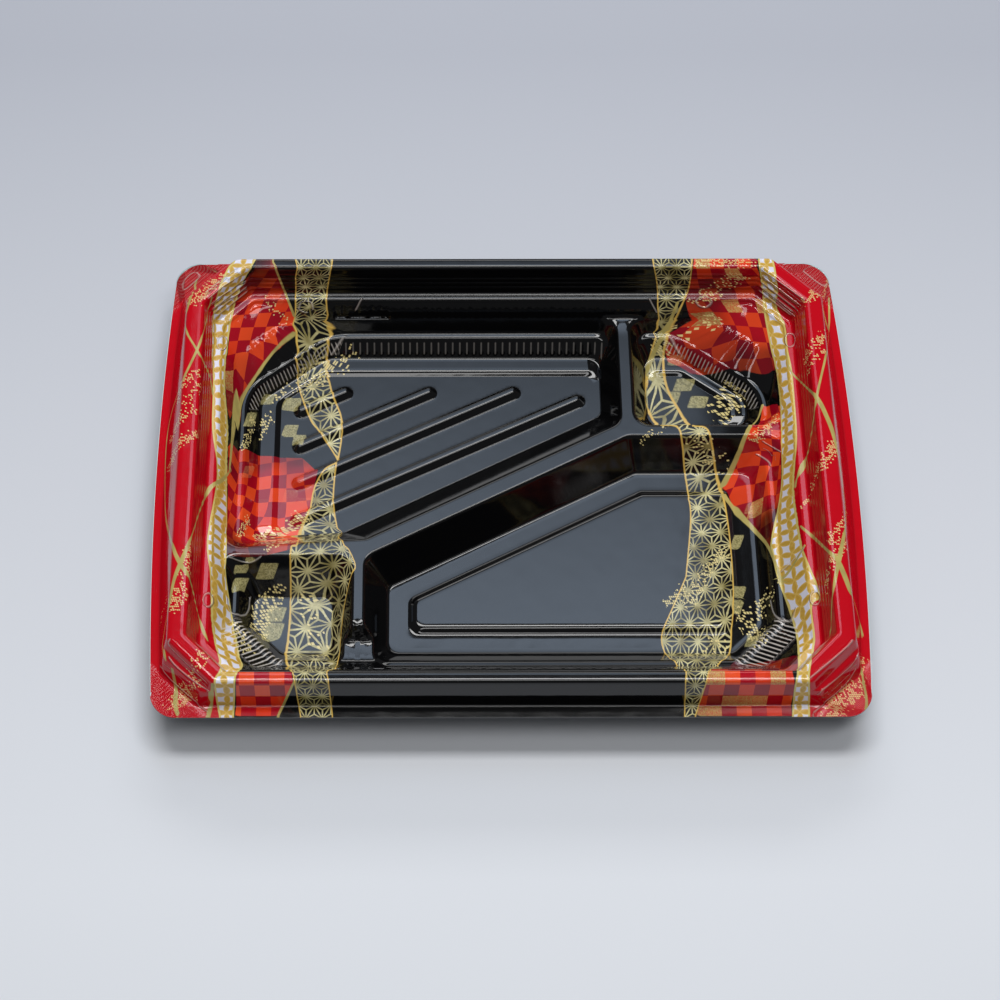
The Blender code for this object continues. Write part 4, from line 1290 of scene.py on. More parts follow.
class Tracer:
    """Finds where the photograph's pixels lie on the flat film."""

    def __init__(self, mesh, coordinates):
        self.triangles = triangle_corners(mesh)
        self.places = mesh_array(mesh.vertices, "co", 3)
        self.tree = BVHTree.FromPolygons(self.places.tolist(), self.triangles.tolist())
        self.coordinates = coordinates
        self.right = Vector((math.cos(CAMERA_YAW), -math.sin(CAMERA_YAW), 0.0))
        self.up = self.right.cross(CAMERA_FORWARD)

    def spot(self, x, y):
        """The film coordinate under a pixel, or under the nearest pixel inwards that the tray covers."""
        centre = PHOTO_SIZE / 2.0
        for step in range(PIXEL_TRIES):
            across = (x - AXIS_PIXEL_X) / FOCAL_PIXELS
            rise = (centre - y) / FOCAL_PIXELS
            ray = (CAMERA_FORWARD + self.right * across + self.up * rise).normalized()
            place, _, index, _ = self.tree.ray_cast(CAMERA_EYE, ray)
            if place is not None:
                break
            x += math.copysign(PIXEL_STEP, centre - x) if step % 2 else 0.0
            y += math.copysign(PIXEL_STEP, centre - y)
        else:
            raise RuntimeError(f"no film lies under the pixel {x}, {y}")
        corners = self.triangles[index]
        matrix = np.vstack((self.places[corners].T, np.ones(3)))
        shares = np.linalg.lstsq(matrix, np.array((*place, 1.0)), rcond=None)[0]
        return self.coordinates[corners].T @ shares

    def line(self, pixels, pieces=4):
        """The film coordinates under a smooth line of pixels, carried on past the tray's edges."""
        fine = smooth_line(pixels, pieces) if pieces > 1 else np.asarray(pixels, float)
        spots = [np.append(self.spot(pixel[0], pixel[1]), pixel[2:]) for pixel in fine]
        past = np.zeros(len(spots[0]))
        past[1] = PAST_EDGE
        if pixels[0][1] < FAR_PIXEL:
            spots.insert(0, spots[0] + past)
        if pixels[-1][1] > NEAR_PIXEL:
            spots.append(spots[-1] - past)
        return np.array(spots)


def near_points(points, line):
    """Which points lie within a stroke's reach of the box round a line."""
    low = line[:, :2].min(axis=0) - STROKE_REACH
    high = line[:, :2].max(axis=0) + STROKE_REACH
    return np.flatnonzero(((points > low) & (points < high)).all(axis=1))


def signed_distance(points, loop):
    """Distance to a closed line, positive inside it, and -1 well away from it."""
    near = near_points(points, loop)
    result = np.full(len(points), -FAR_OFF)
    distance = line_distance(points[near], loop, closed=True)
    result[near] = np.where(inside_loop(points[near], loop), distance, -distance)
    return result


def between(outer, inner):
    """The closed line round the band between two lines."""
    return np.concatenate((outer, inner[::-1]))


def add_strokes(points, strokes):
    """Each point's side of the nearest stroke and distance from it, and the stroke's half width there."""
    nearest = np.full(len(points), FAR_OFF)
    side = np.full(len(points), FAR_OFF)
    width = np.full(len(points), -FAR_OFF)
    for line in strokes:
        near = near_points(points, line)
        spots = points[near]
        for start, end in zip(line, line[1:]):
            step = end[:2] - start[:2]
            length = max(float(np.linalg.norm(step)), LEAST_LENGTH)
            along = (spots - start[:2]) @ step / length**2
            share = np.clip(along, 0.0, 1.0)
            off = ((spots[:, 0] - start[0]) * step[1] - (spots[:, 1] - start[1]) * step[0]) / length
            past = np.abs(along - share) * length
            gap = np.hypot(off, past)
            closer = gap < nearest[near]
            chosen = near[closer]
            nearest[chosen] = gap[closer]
            side[chosen] = np.copysign(gap, off)[closer]
            half = start[2] + (end[2] - start[2]) * share
            width[chosen] = (half - 2.0 * past - np.maximum(0.0, np.abs(off) - 0.5 * STROKE_REACH))[closer]
    return side, width


def print_areas(tracer):
    """The closed lines round each kind of printed area, on the flat film."""
    belts, reds = [], []
    for outer, inner, end in (
        (LEFT_BELT_OUTER, LEFT_BELT_INNER, -PAST_SIDE),
        (RIGHT_BELT_OUTER, RIGHT_BELT_INNER, PAST_SIDE),
    ):
        line = tracer.line(outer)
        belts.append(between(line, tracer.line(inner)))
        reds.append(np.concatenate((line, ((end, line[-1][1]), (end, line[0][1])))))
    stars = []
    for outer, inner in ((LEFT_STAR_OUTER, LEFT_STAR_INNER), (RIGHT_STAR_OUTER, RIGHT_STAR_INNER)):
        stars.append(between(tracer.line(outer), tracer.line(inner)))
    tiles = []
    for x, y, half_width, half_height in GOLD_TILES:
        lean = TILE_LEAN * half_height
        corners = (
            (x - half_width + lean, y - half_height),
            (x + half_width + lean, y - half_height),
            (x + half_width - lean, y + half_height),
            (x - half_width - lean, y + half_height),
        )
        tiles.append(np.array([tracer.spot(*corner) for corner in corners]))
    checks = [tracer.line(area, 1) for area in CHECK_AREAS]
    return {"belt": belts, "red": reds, "stars": stars, "check": checks, "tiles": tiles}


def print_strokes(tracer):
    """The gold lines, the ones that cross them, and the pressed lines, each with its half width."""
    strokes = {"line": [], "crossing_line": [], "pressed": []}
    for i, pixels in enumerate(GOLD_LINES):
        line = tracer.line(pixels)
        line[:, 2] = (line[:, 2] * LINE_SHARE + LINE_SPREAD) * MILLIMETRE
        strokes["crossing_line" if i in CROSSING_LINES else "line"].append(line)
    pressed = [tracer.line(pixels, 3) for pixels in PRESSED_LINES]
    turns = np.linspace(0.0, FULL_TURN, RING_POINTS)
    for x, y, half_width, half_height in PRESSED_RINGS:
        ring = [(x + half_width * math.cos(turn), y + half_height * math.sin(turn)) for turn in turns]
        pressed.append([tracer.spot(*pixel) for pixel in ring])
    for line in pressed:
        strokes["pressed"].append(np.column_stack((line, np.full(len(line), RIDGE_HALF * MILLIMETRE))))
    return strokes


# How strongly the checks show at each point, blended from the listed samples; partly painted shade on the
# slanted corners.
def check_tone(points, tracer):
    weights = np.zeros(len(points))
    tone = np.zeros(len(points))
    for x, y, bright in CHECK_TONES_AND_SHADE:
        weight = 1.0 / (((points - tracer.spot(x, y)) ** 2).sum(axis=1) + TONE_REACH**2) ** 2
        weights += weight
        tone += weight * bright
    return tone / weights


def fleck_cover(points, tracer):
    """How thickly the flecks of gold leaf lie at each point, from 0 to 1."""
    cover = np.zeros(len(points))
    for x, y, end_x, end_y, half, thick in GOLD_STREAKS:
        reach = half * STREAK_SHARE * MILLIMETRE
        line = np.array((tracer.spot(x, y), tracer.spot(end_x, end_y)))
        inside = (reach - line_distance(points, line)) / reach
        cover = np.maximum(cover, thick * np.clip(inside + STREAK_CORE, 0.0, 1.0))
    return cover


def draw_print(mesh, points, edge):
    """Stores at every point how far inside each part of the print it lies, in millimetres."""
    tracer = Tracer(mesh, points)

    def store(name, values, limit):
        add_number(mesh, name, np.clip(values / MILLIMETRE, -limit, limit))

    for name, loops in print_areas(tracer).items():
        store(name, np.max([signed_distance(points, loop) for loop in loops], axis=0), PRINT_LIMIT)
    # The lit cut edge's painted highlight.
    store("lit_cut_edge", edge, PRINT_LIMIT)
    for name, lines in print_strokes(tracer).items():
        side, width = add_strokes(points, lines)
        store(name + "_side", side, STROKE_LIMIT)
        store(name + "_width", width, STROKE_LIMIT)
    add_number(mesh, "tone", check_tone(points, tracer))
    add_number(mesh, "flecks", fleck_cover(points, tracer))


class Amount:
    """A number worked out by a material's nodes. It adds, multiplies and so on as a plain number does."""

    def __init__(self, recipe, socket):
        self.recipe = recipe
        self.socket = socket

    def __add__(self, other):
        return self.recipe.math("ADD", self, other)

    def __sub__(self, other):
        return self.recipe.math("SUBTRACT", self, other)

    def __rsub__(self, other):
        return self.recipe.math("SUBTRACT", other, self)

    def __mul__(self, other):
        return self.recipe.math("MULTIPLY", self, other)

    def __abs__(self):
        return self.recipe.math("ABSOLUTE", self)

    def lesser(self, other):
        return self.recipe.math("MINIMUM", self, other)

    def greater(self, other):
        return self.recipe.math("MAXIMUM", self, other)

    def cosine(self):
        return self.recipe.math("COSINE", self)

    def cell(self, size):
        """Which whole-numbered cell of the given size it lies in."""
        return self.recipe.math("FLOOR", self.recipe.math("DIVIDE", self, size))

    def off_middle(self, size):
        """How far it lies from the middle of its cell, as a share of the cell's size."""
        share = self.recipe.math("FRACT", self.recipe.math("DIVIDE", self, size))
        return abs(share - 0.5)

    def ramp(self, low, high):
        """0 below low, 1 above high, and a straight slope between them."""
        node = self.recipe.node("ShaderNodeMapRange", clamp=True)
        for socket, setting in zip(node.inputs, (self, low, high, 0.0, 1.0)):
            self.recipe.feed(socket, setting)
        return Amount(self.recipe, node.outputs[0])

    def crisp(self):
        """1 inside a printed edge and 0 outside it, for a distance in millimetres."""
        return self.ramp(-CRISP, CRISP)


class Recipe:
    """A material's node tree, with short ways of adding to it."""

    def __init__(self, name):
        self.material = bpy.data.materials.new(name)
        self.material.use_nodes = True
        self.tree = self.material.node_tree
        self.shader = self.tree.nodes["Principled BSDF"]
        self.column = 0

    def node(self, kind, **settings):
        node = self.tree.nodes.new(kind)
        for name, value in settings.items():
            setattr(node, name, value)
        self.column += 1
        column, row = divmod(self.column, NODES_HIGH)
        node.location = (-NODE_SPACING_X * (1 + column), NODE_TOP - NODE_SPACING_Y * row)
        return node

    def feed(self, socket, value):
        if isinstance(value, Amount):
            value = value.socket
        if isinstance(value, bpy.types.NodeSocket):
            self.tree.links.new(value, socket)
        else:
            socket.default_value = value

    def math(self, operation, *values):
        node = self.node("ShaderNodeMath", operation=operation)
        for socket, value in zip(node.inputs, values):
            self.feed(socket, value)
        return Amount(self, node.outputs[0])

    def vector(self, *values):
        node = self.node("ShaderNodeCombineXYZ")
        for socket, value in zip(node.inputs, values):
            self.feed(socket, value)
        return node.outputs[0]

    def parts(self, vector):
        """A vector's three numbers."""
        node = self.node("ShaderNodeSeparateXYZ")
        self.feed(node.inputs[0], vector)
        return [Amount(self, output) for output in node.outputs]

    def number(self, name):
        """A number that the mesh's points carry."""
        return Amount(self, self.node("ShaderNodeAttribute", attribute_name=name).outputs["Fac"])

    def mix(self, share, first, second):
        node = self.node("ShaderNodeMix", data_type="RGBA")
        for place, value in ((0, share), (6, first), (7, second)):
            self.feed(node.inputs[place], value)
        return node.outputs[2]

    def dice(self, x, y, seed=0.0):
        """A random number for each whole-numbered cell."""
        node = self.node("ShaderNodeTexWhiteNoise", noise_dimensions="3D")
        self.feed(node.inputs["Vector"], self.vector(x, y, seed))
        return Amount(self, node.outputs["Value"])

    def cloud(self, vector, scale, detail=2.0):
        """Soft noise."""
        node = self.node("ShaderNodeTexNoise", noise_dimensions="3D")
        self.feed(node.inputs["Vector"], vector)
        node.inputs["Scale"].default_value = scale
        node.inputs["Detail"].default_value = detail
        return Amount(self, node.outputs["Fac"])

    def gloss(self, color, roughness, ior, height, depth, strength=1.0):
        """Feeds the shader of a glossy face, with a height in units of the given depth as its fine relief."""
        bump = self.node("ShaderNodeBump")
        bump.inputs["Distance"].default_value = depth
        bump.inputs["Strength"].default_value = strength
        self.feed(bump.inputs["Height"], height)
        self.feed(self.shader.inputs["Base Color"], color)
        self.feed(self.shader.inputs["Roughness"], roughness)
        self.feed(self.shader.inputs["Normal"], bump.outputs[0])
        self.shader.inputs["IOR"].default_value = ior
        return self.material


def film_places(recipe):
    """The film coordinate in millimetres, from the film's own map."""
    u, v, _ = recipe.parts(recipe.node("ShaderNodeUVMap", uv_map=FILM_MAP).outputs[0])
    return (u - 0.5) * (FILM_SPAN_U / MILLIMETRE), (v - 0.5) * (FILM_SPAN_V / MILLIMETRE)


def star_lines(recipe, u, v, pitch):
    """The hemp leaf pattern: 1 on its lines, 0 between them."""
    shares = []
    height = pitch * math.sqrt(0.75)
    for turn in (90.0, 210.0, 330.0):
        angle = math.radians(turn)
        shares.append(recipe.math("FRACT", u * (math.cos(angle) / height) + v * (math.sin(angle) / height)))
    flipped = recipe.math("GREATER_THAN", shares[0] + shares[1] + shares[2], 1.5)
    first, second, third = [abs(flipped - share) for share in shares]
    least = first.lesser(second).lesser(third)
    most = first.greater(second).greater(third)
    middle = 1.0 - least - most
    edge = least * height
    spoke = (middle - least) * (height / math.sqrt(3.0))
    return edge.lesser(spoke).ramp(STAR_LINE, STAR_LINE * STAR_LINE_CORE)


def belt_color(recipe, u, v, inside, looks):
    """The belt of seven treasures: gold petals round white diamonds, between gold borders."""
    size = looks.petal_pitch / MILLIMETRE
    radius = size / math.sqrt(2.0)
    spot = recipe.vector(u, v)
    swaying = u + recipe.cloud(spot, BELT_SWAY_SCALE) * BELT_SWAY
    a, b = swaying.off_middle(size) * size, v.off_middle(size) * size
    reaches = []
    for near, off in ((a, b), (b, a)):
        gap = size - near
        reaches.append(radius - recipe.math("SQRT", gap * gap + off * off))
    petal = reaches[0].greater(reaches[1])
    grain = recipe.cloud(spot, GOLD_GRAIN_SCALE)
    gold = recipe.mix(grain, (*looks.petal_gold, 1.0), (*looks.border_gold, 1.0))
    color = recipe.mix(petal.ramp(*PETAL_EDGE), (*looks.belt_white, 1.0), gold)
    color = recipe.mix(abs(petal).ramp(*PETAL_OUTLINE), color, (*looks.border_gold, 1.0))
    border = inside.ramp(BELT_BORDER, BELT_BORDER * BELT_BORDER_CORE)
    return recipe.mix(border, color, (*looks.line_gold, 1.0))


def check_color(recipe, u, v, looks):
    """The checkered cloth pattern in two reds, with a few gilded squares."""
    size = looks.check_cell / MILLIMETRE
    column, row = u.cell(size), v.cell(size)
    odd = recipe.math("FRACT", (column + row) * 0.5) * 2.0
    luck = recipe.dice(column, row)
    orange = recipe.mix(luck, (*looks.check_orange, 1.0), CHECK_SCARLET)
    crimson = recipe.mix(luck, (*looks.check_crimson, 1.0), CHECK_WINE)
    color = recipe.mix(odd, crimson, orange)
    speck = recipe.dice(u.cell(LEAF_GRAIN), v.cell(LEAF_GRAIN), CHECK_SEED)
    gilt = recipe.mix(speck, CHECK_SALMON, (*looks.line_gold, 1.0))
    return recipe.mix(recipe.math("GREATER_THAN", luck, GILDED_FROM) * GILDED_SHARE, color, gilt)


def fleck_share(recipe, u, v):
    """Where the sprinkled squares of gold leaf lie."""
    leaning = u + v * FLECK_LEAN
    luck = recipe.dice(leaning.cell(FLECK_CELL), v.cell(FLECK_CELL))
    shown = recipe.math("LESS_THAN", luck, recipe.number("flecks") * FLECK_DENSITY)
    square = leaning.off_middle(FLECK_CELL).greater(v.off_middle(FLECK_CELL)).ramp(*FLECK_SIDE)
    return shown * square * FLECK_SHARE


def stroke_inside(recipe, name):
    """How far inside the nearest of the named strokes a point lies, in millimetres."""
    return recipe.number(name + "_width") - abs(recipe.number(name + "_side"))


def pressed_height(recipe, u, v):
    """The film's fine relief in millimetres, and the share of painted highlight on its crests, pressed lines
    and knurling.
    """
    flute = (recipe.number("flute_phase") * FULL_TURN).cosine() * recipe.number("flute_depth")
    turn = recipe.number("groove_place") * (FULL_TURN * MILLIMETRE / GROOVE_PITCH)
    groove = turn.cosine() * recipe.number("groove_depth")
    ridge = stroke_inside(recipe, "pressed").ramp(0.0, RIDGE_HALF)
    ridge = recipe.math("SMOOTH_MIN", ridge, *RIDGE_CREST)
    crossed = ((u - v) * (0.5 * FULL_TURN / KNURL_PITCH)).cosine() * KNURL_CROSSED
    knurl = (((u + v) * (FULL_TURN / KNURL_PITCH)).cosine() + crossed) * recipe.number("tab")
    # Painted highlights: pale colour on the flutes' and grooves' crests, the pressed lines and rings, and the
    # knurling.
    painted_highlight = flute.ramp(*FLUTE_HIGHLIGHT) * FLUTE_HIGHLIGHT_SHARE + groove.ramp(*GROOVE_HIGHLIGHT) * GROOVE_HIGHLIGHT_SHARE
    painted_highlight = painted_highlight + ridge * RIDGE_HIGHLIGHT_SHARE + knurl.ramp(*KNURL_HIGHLIGHT) * KNURL_HIGHLIGHT_SHARE
    ripple = recipe.cloud(recipe.vector(u, v), RIPPLE_SCALE, 1.0)
    return ridge * RIDGE_RISE + knurl * KNURL_RISE + ripple * RIPPLE_RISE, painted_highlight.lesser(1.0)


def film_material(looks):
    """The printed film: red ends, gold and white belts, checks and hemp leaf bands on black."""
    recipe = Recipe("printed_film_gloss")
    u, v = film_places(recipe)
    spot = recipe.vector(u, v)
    belt, stars = recipe.number("belt"), recipe.number("stars")
    black = (*looks.ground_black, 1.0)
    tone_and_shade_cloud = recipe.cloud(spot, TONE_AND_SHADE_SCALE, 3.0)
    grain = recipe.dice(u.cell(LEAF_GRAIN), v.cell(LEAF_GRAIN), TILE_SEED)

    reds = recipe.mix(tone_and_shade_cloud, (*looks.end_red, 1.0), RED_DEEP)
    color = recipe.mix(recipe.number("red").crisp(), black, reds)
    tiles = recipe.number("tiles").crisp() * TILE_SHARE
    color = recipe.mix(tiles, color, recipe.mix(grain, TILE_OLIVE, TILE_GOLD))
    shown = recipe.number("check").crisp() * recipe.number("tone")
    color = recipe.mix(shown, color, check_color(recipe, u, v, looks))

    # Gold leaf mixed at random between its lit colour and a painted shaded copy.
    leaf = recipe.mix(tone_and_shade_cloud.ramp(*LEAF_SHADE), LEAF_SHADED, (*looks.leaf_gold, 1.0))
    leaf = recipe.mix(grain * LEAF_SPECK_SHARE, leaf, LEAF_SHADED)
    banded = recipe.mix(star_lines(recipe, u, v, looks.star_pitch / MILLIMETRE), black, leaf)
    border = stars.ramp(STAR_BORDER, STAR_BORDER * STAR_BORDER_CORE)
    banded = recipe.mix(border, banded, (*looks.border_gold, 1.0))
    color = recipe.mix(stars.crisp(), color, banded)
    color = recipe.mix(belt.crisp(), color, belt_color(recipe, u, v, belt, looks))

    color = recipe.mix(fleck_share(recipe, u, v), color, FLECK_GOLD)
    lined = stroke_inside(recipe, "line").greater(stroke_inside(recipe, "crossing_line"))
    # Gold lines mixed at random with the painted shaded gold.
    color = recipe.mix(lined.crisp(), color, recipe.mix(tone_and_shade_cloud, (*looks.line_gold, 1.0), LEAF_SHADED))
    height, painted_highlight = pressed_height(recipe, u, v)
    # Painted highlights on the film's crests and pressed lines.
    color = recipe.mix(painted_highlight, color, PAINTED_CREST_HIGHLIGHT)
    # Painted highlight along the lit cut edge.
    color = recipe.mix(recipe.number("lit_cut_edge").ramp(0.0, LIT_CUT_EDGE_SOFT), color, LIT_CUT_EDGE)
    roughness = recipe.cloud(spot, WEAR_SCALE, 3.0) * WEAR_ROUGHNESS + looks.roughness
    return recipe.gloss(color, roughness, FILM_IOR, height, MILLIMETRE)


def sheet_material(looks):
    """The black sheet: glossy moulded plastic with faint flow marks and a finely grained face."""
    recipe = Recipe("black_sheet_gloss")
    spot = recipe.node("ShaderNodeTexCoord").outputs["Object"]
    flow = recipe.cloud(spot, FLOW_SCALE, 3.0)
    grain = recipe.cloud(spot, GRAIN_SCALE)
    color = recipe.mix(flow, (*looks.sheet_black, 1.0), SHEET_WORN)
    roughness = flow * FLOW_ROUGHNESS + looks.roughness
    return recipe.gloss(color, roughness, SHEET_IOR, grain * GRAIN_SHARE + flow, GRAIN_DEPTH, GRAIN_STRENGTH)


def floor_material(looks):
    """The studio floor: matt paint with painted shade that darkens it beyond the tray where the light falls
    off, and a barely uneven tone.
    """
    recipe = Recipe("floor_paint")
    spot = recipe.node("ShaderNodeTexCoord").outputs["Object"]
    # Painted shade: the floor fades to a darker colour beyond the tray.
    beyond = recipe.parts(spot)[1].ramp(*FLOOR_PAINTED_SHADE_RANGE)
    color = recipe.mix(beyond, (*looks.floor_color, 1.0), (*looks.far_floor_painted_shade, 1.0))
    color = recipe.mix(recipe.cloud(spot, FLOOR_TONE_SCALE) * FLOOR_TONE_SHARE, color, FLOOR_SHADED)
    recipe.feed(recipe.shader.inputs["Base Color"], color)
    recipe.shader.inputs["Roughness"].default_value = FLOOR_ROUGHNESS
    recipe.shader.inputs["Specular IOR Level"].default_value = FLOOR_SPECULAR
    return recipe.material


def corner_tabs(points):
    """1 on the flange's four corner tabs, outside the rim's cut corners, 0 elsewhere."""
    reach = (np.abs(points[:, 0]) + np.abs(points[:, 1])) / math.sqrt(2.0)
    near = points[:, 1] < 0.0
    corner = np.where(near, rim_reach(RIM_CORNER_NEAR), rim_reach(RIM_CORNER_FAR))
    tab = corner + RIM_WIDTH_CORNER + FOOT_RUN_CORNER + TAB_FROM
    flat = points[:, 2] > FLANGE_DROP - MERGE
    return np.clip((reach - tab) / TAB_FROM, 0.0, 1.0) * flat * np.where(near, TAB_NEAR_SHARE, 1.0)


def new_piece(name, mesh, material):
    """A mesh as an object of the scene, with its material."""
    mesh.materials.append(material)
    piece = bpy.data.objects.new(name, mesh)
    bpy.context.scene.collection.objects.link(piece)
    return piece


def close_edge(mesh, height):
    """Adds an upright strip of the given height along the mesh's outer edge, face by face in order."""
    shape = bmesh.new()
    shape.from_mesh(mesh)
    chart = shape.loops.layers.uv.active
    corners = [edge.link_loops[0] for edge in shape.edges if edge.is_boundary]
    feet = {}
    for corner in corners:
        for vert in corner.edge.verts:
            if vert not in feet:
                feet[vert] = shape.verts.new(vert.co + Vector((0.0, 0.0, height)), vert)
    for corner in corners:
        ahead = corner.link_loop_next
        verts = (ahead.vert, corner.vert, feet[corner.vert], feet[ahead.vert])
        strip = shape.faces.new(verts, corner.face)
        for place, (top, spread) in enumerate(((ahead, 0.0), (corner, 0.0), (corner, 1.0), (ahead, 1.0))):
            strip.loops[place].edge.smooth = place % 2 == 1
            if chart:
                spot = top[chart].uv
                past = (spot - Vector((0.5, 0.5))) * (spread * STRIP_MAP_SHARE)
                strip.loops[place][chart].uv = spot + past
    shape.to_mesh(mesh)
    shape.free()
    mesh.update()


def area_lamp(name, place, size, color, power):
    """A soft lamp that faces the tray."""
    light = bpy.data.lights.new(name, "AREA")
    light.shape = "RECTANGLE"
    light.size, light.size_y = size
    light.color = color
    light.energy = power
    lamp = bpy.data.objects.new(name, light)
    lamp.location = place
    lamp.rotation_mode = "QUATERNION"
    lamp.rotation_quaternion = (-Vector(place)).to_track_quat("-Z", "Y")
    bpy.context.scene.collection.objects.link(lamp)
    return light


def fade_lamp(light, far, near):
    """Fades a lamp evenly from its near edge to its far edge."""
    light.use_nodes = True
    tree = light.node_tree
    emission = tree.nodes["Emission"]
    across = tree.nodes.new("ShaderNodeNewGeometry")
    split = tree.nodes.new("ShaderNodeSeparateXYZ")
    fade = tree.nodes.new("ShaderNodeMapRange")
    fade.inputs["To Min"].default_value = far
    fade.inputs["To Max"].default_value = near
    tree.links.new(across.outputs["Parametric"], split.inputs[0])
    tree.links.new(split.outputs["Y"], fade.inputs["Value"])
    tree.links.new(fade.outputs[0], emission.inputs["Strength"])


class FilmLooks(bpy.types.PropertyGroup):
    """What a user would change on the printed film."""

    end_red: bpy.props.FloatVectorProperty(
        name="Red ends", description="Colour of the film at both ends of the tray", subtype="COLOR",
        size=3, min=0.0, max=1.0, default=plain_color(190, 2, 24)[:3],
    )
    ground_black: bpy.props.FloatVectorProperty(
        name="Black ground", description="Colour of the film in the middle of the tray", subtype="COLOR",
        size=3, min=0.0, max=1.0, default=plain_color(7, 7, 8)[:3],
    )
    line_gold: bpy.props.FloatVectorProperty(
        name="Gold lines", description="Colour of the curved gold lines and the belts' edges",
        subtype="COLOR", size=3, min=0.0, max=1.0, default=plain_color(206, 188, 108)[:3],
    )
    border_gold: bpy.props.FloatVectorProperty(
        name="Border gold", description="Colour of the narrow borders of the leaf bands", subtype="COLOR",
        size=3, min=0.0, max=1.0, default=plain_color(208, 172, 84)[:3],
    )
    petal_gold: bpy.props.FloatVectorProperty(
        name="Petal gold", description="Deeper gold of the petals in the belts", subtype="COLOR",
        size=3, min=0.0, max=1.0, default=plain_color(178, 134, 34)[:3],
    )
    leaf_gold: bpy.props.FloatVectorProperty(
        name="Leaf gold", description="Colour of the hemp leaf lines", subtype="COLOR",
        size=3, min=0.0, max=1.0, default=plain_color(206, 198, 146)[:3],
    )
    belt_white: bpy.props.FloatVectorProperty(
        name="Belt white", description="Colour between the petals of the belts", subtype="COLOR",
        size=3, min=0.0, max=1.0, default=plain_color(214, 214, 228)[:3],
    )
    check_orange: bpy.props.FloatVectorProperty(
        name="Light check", description="Colour of the lighter checks", subtype="COLOR",
        size=3, min=0.0, max=1.0, default=plain_color(226, 78, 34)[:3],
    )
    check_crimson: bpy.props.FloatVectorProperty(
        name="Dark check", description="Colour of the darker checks", subtype="COLOR",
        size=3, min=0.0, max=1.0, default=plain_color(172, 8, 28)[:3],
    )
    star_pitch: bpy.props.FloatProperty(
        name="Leaf pitch", description="Distance between the hemp leaf stars on the flat film",
        subtype="DISTANCE", unit="LENGTH", min=0.002, default=0.0058,
    )
    petal_pitch: bpy.props.FloatProperty(
        name="Petal pitch", description="Distance between the circles of the belts on the flat film",
        subtype="DISTANCE", unit="LENGTH", min=0.002, default=0.0043,
    )
    check_cell: bpy.props.FloatProperty(
        name="Check size", description="Side of one square of the check on the flat film", subtype="DISTANCE",
        unit="LENGTH", min=0.001, default=0.0053,
    )
    roughness: bpy.props.FloatProperty(
        name="Roughness", description="How dull the film's gloss is", subtype="FACTOR",
        min=0.0, max=1.0, default=0.06,
    )


class SheetLooks(bpy.types.PropertyGroup):
    """What a user would change on the black sheet."""

    sheet_black: bpy.props.FloatVectorProperty(
        name="Sheet black", description="Colour of the sheet under the film", subtype="COLOR",
        size=3, min=0.0, max=1.0, default=plain_color(18, 18, 20)[:3],
    )
    roughness: bpy.props.FloatProperty(
        name="Roughness", description="How dull the sheet's underside is", subtype="FACTOR",
        min=0.0, max=1.0, default=0.22,
    )


class StageLooks(bpy.types.PropertyGroup):
    """What a user would change on the studio."""

    floor_color: bpy.props.FloatVectorProperty(
        name="Floor colour", description="Colour of the studio floor", subtype="COLOR",
        size=3, min=0.0, max=1.0, default=plain_color(222, 225, 230)[:3],
    )
    # Painted shade: the floor's darker colour beyond the tray stands in for the light falling off there.
    far_floor_painted_shade: bpy.props.FloatVectorProperty(
        name="Far floor colour", description="Colour of the studio floor beyond the tray", subtype="COLOR",
        size=3, min=0.0, max=1.0, default=plain_color(176, 179, 188)[:3],
    )
    floor_half: bpy.props.FloatProperty(
        name="Floor half size", description="Half the side of the floor", subtype="DISTANCE", unit="LENGTH",
        min=0.5, default=4.0,
    )
    surround: bpy.props.FloatProperty(
        name="Surround level", description="Even light from all round", subtype="FACTOR",
        min=0.0, max=2.0, default=0.15,
    )
    key_power: bpy.props.FloatProperty(
        name="Overhead power", description="Power of the lamp over the tray", subtype="POWER", unit="POWER",
        min=0.0, default=9.0,
    )
    far_power: bpy.props.FloatProperty(
        name="Far power", description="Power of the low lamp beyond the tray", subtype="POWER", unit="POWER",
        min=0.0, default=4.5,
    )
    front_power: bpy.props.FloatProperty(
        name="Front power", description="Power of the lamp over the near side", subtype="POWER", unit="POWER",
        min=0.0, default=4.6,
    )
    fill_power: bpy.props.FloatProperty(
        name="Sheen power", description="Power of the lamp that the tray mirrors",
        subtype="POWER", unit="POWER", min=0.0, default=1.8,
    )


